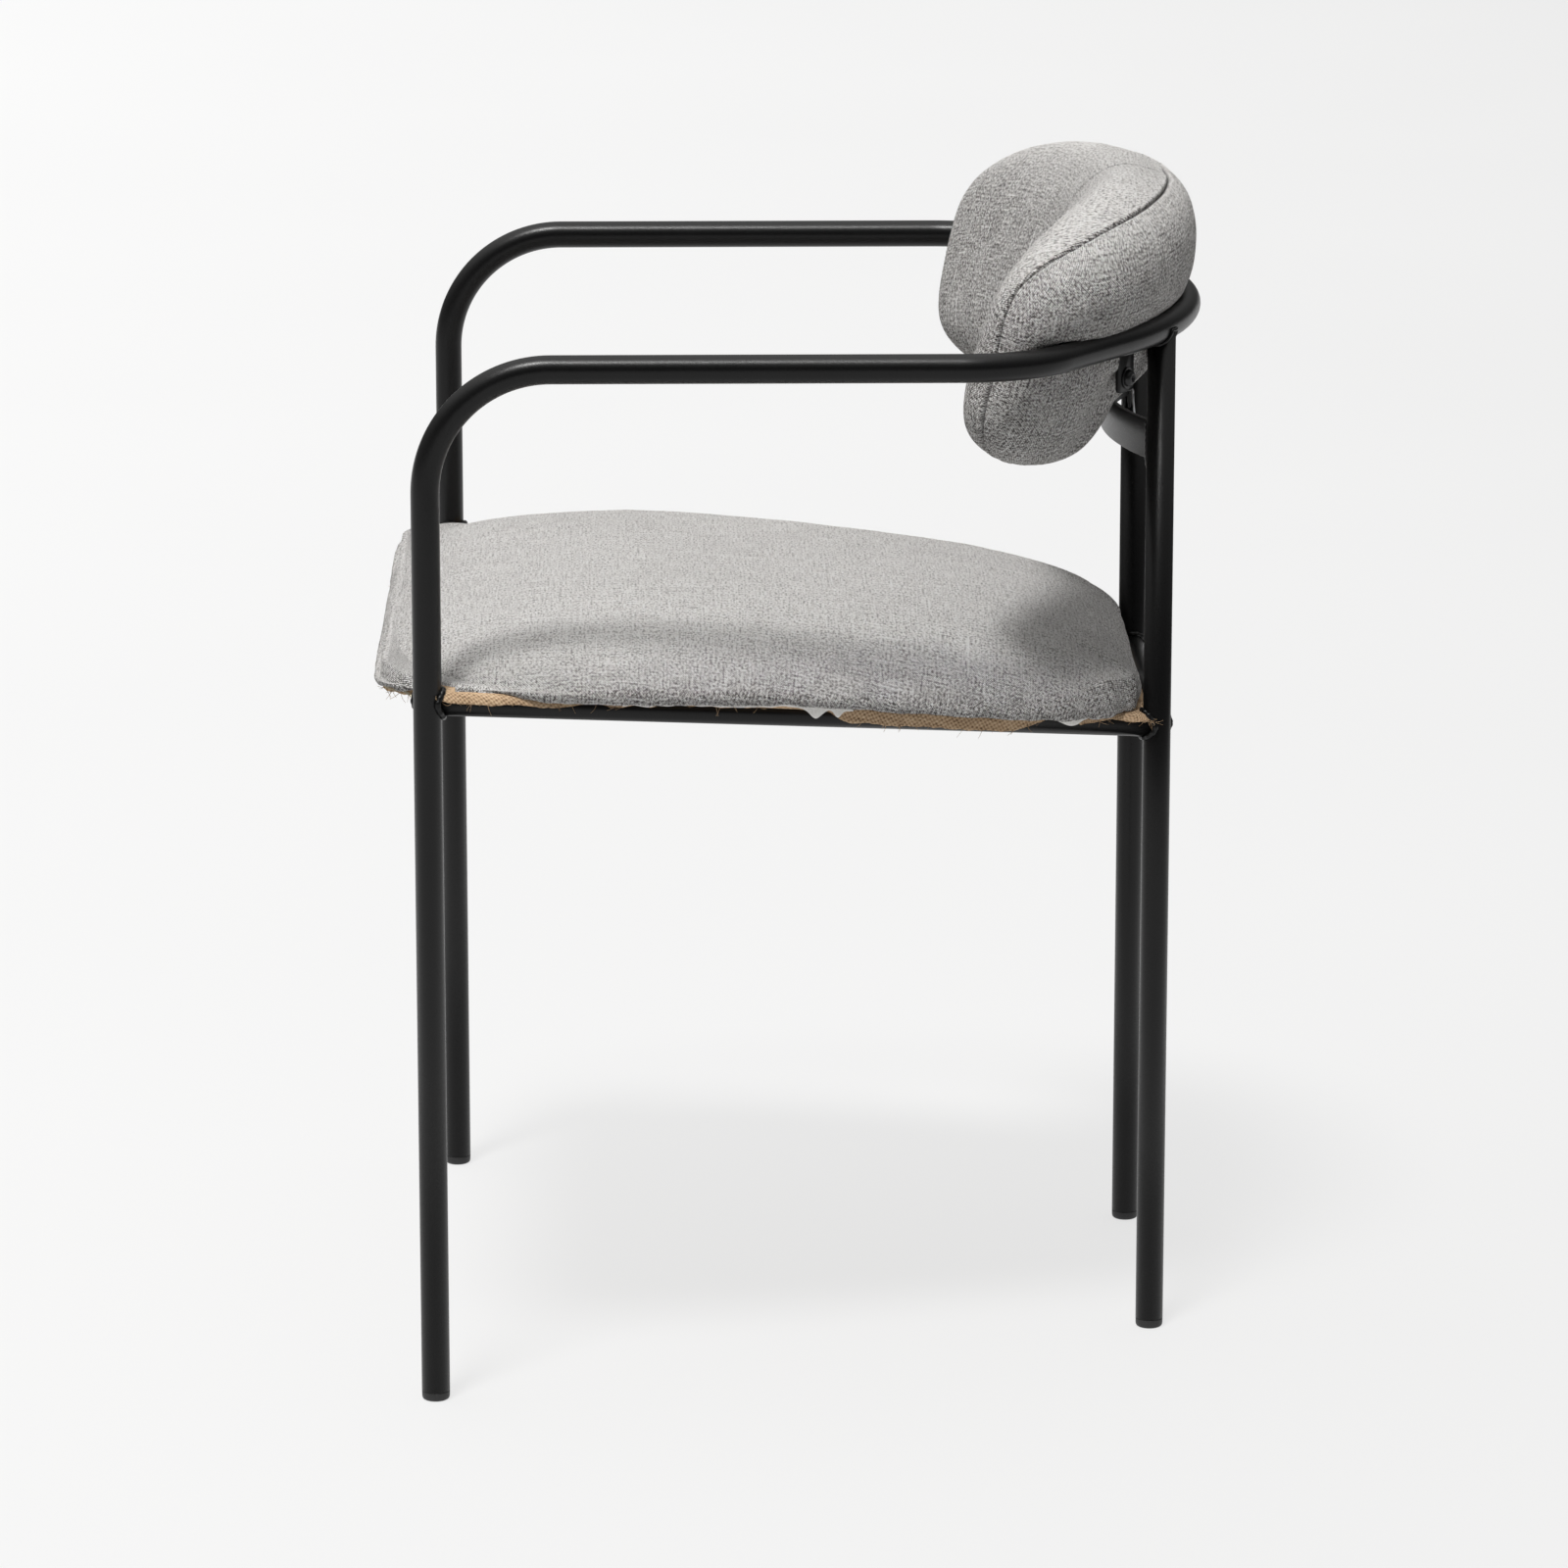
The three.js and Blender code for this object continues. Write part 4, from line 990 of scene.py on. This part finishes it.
hang = edge_hang()
sheet_rings = []
for share in (0.04, 0.2, 0.4, 0.6, 0.75, 0.87, 0.94):
    plan = seat_plan(share)
    sheet_rings.append(np.column_stack([plan, rail_top(plan[:, 1]) + 1.0]))
sheet_rings.append(ring_at(-10.0, rail_top(outline[:, 1]) + 1.0))
sheet_rings.append(ring_at(-7.4, np.maximum(rail_top(outline[:, 1]) + 1.0, hem + 0.6)))
HANG_SHARES = (0.0, 0.2, 0.4, 0.6, 0.8, 0.92, 1.0)
for share in HANG_SHARES:
    sway = 1.3 * share * wobble(around, 14.0, 21.0)
    sheet_rings.append(ring_at(-5.9 + sway, hem + 0.4 - share * (hang + 0.4)))
jute_grid = np.array(sheet_rings)

# Where a rail runs close under the edge, the strip lies over the rail's outer side instead.
rail_run = rear_joint[1.0] - front_joint[1.0]
rail_out = unit(np.cross(rail_run, UP))
rail_over = unit(np.cross(rail_out, rail_run))
count = len(outline)
along = (outline[:, 1] - MEAS_Y - FRONT_LEG[1]) / rail_run[1]
axis = front_joint[1.0] + along[:, None] * rail_run
weight = np.clip((13.0 - (np.abs(outline[:, 0]) - 5.9 - axis[:, 0])) / 6.0, 0, 1)
weight = (weight * ((along > 0.0) & (along < 1.0)))[:, None]
mirror = np.column_stack([np.where(outline[:, 0] > 0, 1.0, -1.0), np.ones((count, 2))])
for share, ring in zip(HANG_SHARES, jute_grid[-len(HANG_SHARES):]):
    a = (share * (0.35 + hang * 0.085) + 0.55)[:, None]
    spot = axis + (RAIL_R + 0.7 + 0.2 * share) * (np.sin(a) * rail_out + np.cos(a) * rail_over)
    ring[:] = ring * (1 - weight) + (spot * mirror + (0, MEAS_Y, 0)) * weight
jute_grid[..., 1] -= MEAS_Y
weave_jute = unrolled(jute_grid, SEAT_CENTRE - (0, MEAS_Y), out_dir)
jute_vertices = np.concatenate([jute_grid.reshape(-1, 3), [jute_grid[0].mean(0)]])
jute_faces = ring_faces(len(jute_grid), count)
jute_faces += [(len(jute_vertices) - 1, (i + 1) % count, i) for i in range(count)]
weave_flat = np.concatenate([weave_jute.reshape(-1, 2), [SEAT_CENTRE - (0, MEAS_Y)]])
jute_sheet = add_mesh(
    "burlap_sheet", jute_vertices, jute_faces, jute, "burlap", ["seat_burlap"], weave_flat,
)


def thicken(piece, thickness):
    """Gives an open cloth surface its thickness."""
    solidify = piece.modifiers.new("thickness", "SOLIDIFY")
    solidify.thickness = thickness * MM
    solidify.offset = 0.0
    bpy.context.view_layer.update()
    evaluated = piece.evaluated_get(bpy.context.evaluated_depsgraph_get())
    mesh = bpy.data.meshes.new_from_object(evaluated)
    piece.modifiers.clear()
    piece.data = mesh


JUTE_THICK, LINING_THICK = 0.7, 0.35
thicken(jute_sheet, JUTE_THICK)

hairs = []
edge_ring = jute_grid[-1]
edge_normal = np.column_stack([out_dir, np.zeros(count)])
for _ in range(420):
    i = int(rng.integers(count))
    if hang[i] < 2.2 and rng.random() < 0.75:
        continue
    start = edge_ring[i] + UP * rng.uniform(0.3, 2.0) + edge_normal[i] * 0.4
    heading = -UP * rng.uniform(0.3, 1.0) + edge_normal[i] * rng.uniform(0.0, 0.8)
    heading = heading + rng.normal(0, 0.55, 3) * (1, 1, 0.4)
    reach = rng.uniform(2.5, 9.0)
    curl = rng.normal(0, 0.9, 3)
    points = [start]
    for _ in range(5):
        heading = unit(heading + curl * 0.35)
        points.append(points[-1] + heading * reach / 5)
    hairs.append(sweep(points, np.linspace(0.2, 0.09, 6), sides=4))
hair_piece = add_mesh("burlap_hairs", *joined(hairs), jute, "burlap")
hair_piece.data.uv_layers.new(name="weave")


def lining_strip(name, y_from, y_to, depth_at):
    """A strip of white lining between the cover and the burlap, showing under the hem."""
    rows = []
    ys = np.arange(y_from, y_to, 1.0)
    columns = np.column_stack([outline, out_dir, hem])[outline[:, 0] > 0]
    columns = columns[np.argsort(columns[:, 1])]
    columns = columns[(columns[:, 1] > -120) & (columns[:, 1] < 290)].T
    shares = (0.0, 0.35, 0.7, 0.9, 1.0)
    for share in shares:
        for y in ys:
            x, along, out_x, out_y, z = (np.interp(y, columns[1], column) for column in columns)
            inset = -4.6 + 0.8 * share * noise.noise(Vector((y / 6.0, 2.0, 5.0)))
            height = z + 3.0 - share * (3.0 + depth_at(y))
            rows.append((x + out_x * inset, along + out_y * inset - MEAS_Y, height))
    faces = ring_faces(len(shares), len(ys), closed=False)
    strip = add_mesh(name, rows, faces, lining_mat, "linen")
    thicken(strip, LINING_THICK)


def torn(y):
    tongue = 6.5 * math.exp(-((y - 97.0) / 5.0) ** 2) + 5.0 * math.exp(-((y - 111.0) / 3.0) ** 2)
    return 1.0 + 0.7 * noise.noise(Vector((y / 7.0, 0.0, 0.0))) + tongue


def corner_scrap(y):
    return 3.5 * math.exp(-((y - 262.0) / 7.0) ** 2) + 0.4


lining_strip("lining_side", -25.0, 122.0, torn)
lining_strip("lining_corner", 250.0, 275.0, corner_scrap)


# ---- Blank label under the back cushion ----

label_grid = np.array([
    [(5.0 + 20.0 * i / 11, 227.0 + 2.4 * drop ** 2 + 0.5 * math.sin(i * 0.5), 606.0 - 22.0 * drop)
     for i in range(12)]
    for drop in np.arange(14) / 13
])
label_piece = add_mesh(
    "label_back", label_grid.reshape(-1, 3), ring_faces(14, 12, closed=False), label_mat,
    "label_cloth", ["care_label"],
)
thicken(label_piece, LINING_THICK)


# ---- Hidden CAD nodes ----

FINISHES = {
    "foam": foam_mat, "board": ply_mat, "insert": zinc_mat, "bolt": bolt_mat, "tab": coat, "rail": coat,
}
for name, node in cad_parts.items():
    if node.hide_render:
        continue
    for word, finish in FINISHES.items():
        if word in name:
            node.data.materials.clear()
            node.data.materials.append(finish)
            break


# ---- Stage: floor, light and camera ----

SKY_BASE, SKY_TOP = 0.10, 1.68  # at the horizon, and what the zenith adds
LIGHT_DIRECTION = (0.34, -0.16, 0.93)
LIGHT_POWER = 85.0
LIGHT_RIM, LIGHT_CORE = math.radians(8.0), math.radians(4.0)
bpy.context.scene.view_settings.view_transform = "Standard"

floor_mesh = bpy.data.meshes.new("floor")
floor_mesh.from_pydata([(-16, -14, 0), (10, -14, 0), (10, 14, 0), (-16, 14, 0)], [], [(0, 1, 2, 3)])
floor = placed("floor", floor_mesh)
m = Material("floor_pale")
at = m.add("ShaderNodeTexCoord").outputs["Object"]
cloudy = m.noise(at, 0.8, 2.0, 0.5)
grey = m.ramp(cloudy, [(0.2, (0.095, 0.095, 0.095)), (0.8, (0.105, 0.105, 0.105))])
m.set(Base_Color=grey, Roughness=0.85)
glow = m.fit(m.split(at)["Y"], -1.6, 1.6, 0.80, 0.65)
m.set(Specular_IOR_Level=0.1, Emission_Color=(1.0, 1.0, 1.0, 1.0), Emission_Strength=glow)
floor_mesh.materials.append(m.material)

# The studio is a sky that is brightest overhead and dimmest on the camera's side, with one
# soft light high up.
world = bpy.data.worlds.new("studio")
bpy.context.scene.world = world
world.use_nodes = True
w = Nodes(world.node_tree)
direction = w.add("ShaderNodeTexCoord").outputs["Generated"]
parts = w.split(direction)
up = w.math("MAXIMUM", parts["Z"], 0.0)
sky = w.math("MULTIPLY_ADD", w.math("POWER", up, 2.0), SKY_TOP, SKY_BASE)
ahead = w.math("MAXIMUM", parts["X"], 0.0)
sky = w.math("MULTIPLY", sky, w.math("MULTIPLY_ADD", ahead, -0.95, 1.0))
sky = w.math("MULTIPLY", sky, w.math("MULTIPLY_ADD", parts["Y"], -0.5, 1.0))
aim = w.add("ShaderNodeVectorMath", {0: direction, 1: tuple(unit(LIGHT_DIRECTION))}, operation="DOT_PRODUCT")
lamp = w.fit(aim.outputs["Value"], math.cos(LIGHT_RIM), math.cos(LIGHT_CORE), 0.0, LIGHT_POWER)
background = world.node_tree.nodes["Background"]
background.inputs["Color"].default_value = (1.0, 0.995, 0.985, 1.0)
w.put(background.inputs["Strength"], w.math("ADD", sky, lamp))

CAMERA_AT = (4.472, -0.085, 1.432)
CAMERA_LENS, CAMERA_PITCH, CAMERA_YAW = 159.2, math.radians(13.73), 0.0188
camera_data = bpy.data.cameras.new("camera")
camera_data.sensor_width = 36.0
camera_data.lens = CAMERA_LENS
camera = placed("camera", camera_data)
level = math.cos(CAMERA_PITCH)
forward = Vector((-level * math.cos(CAMERA_YAW), level * math.sin(CAMERA_YAW), -math.sin(CAMERA_PITCH)))
camera.location = CAMERA_AT
camera.rotation_euler = forward.to_track_quat("-Z", "Y").to_euler()
bpy.context.scene.camera = camera
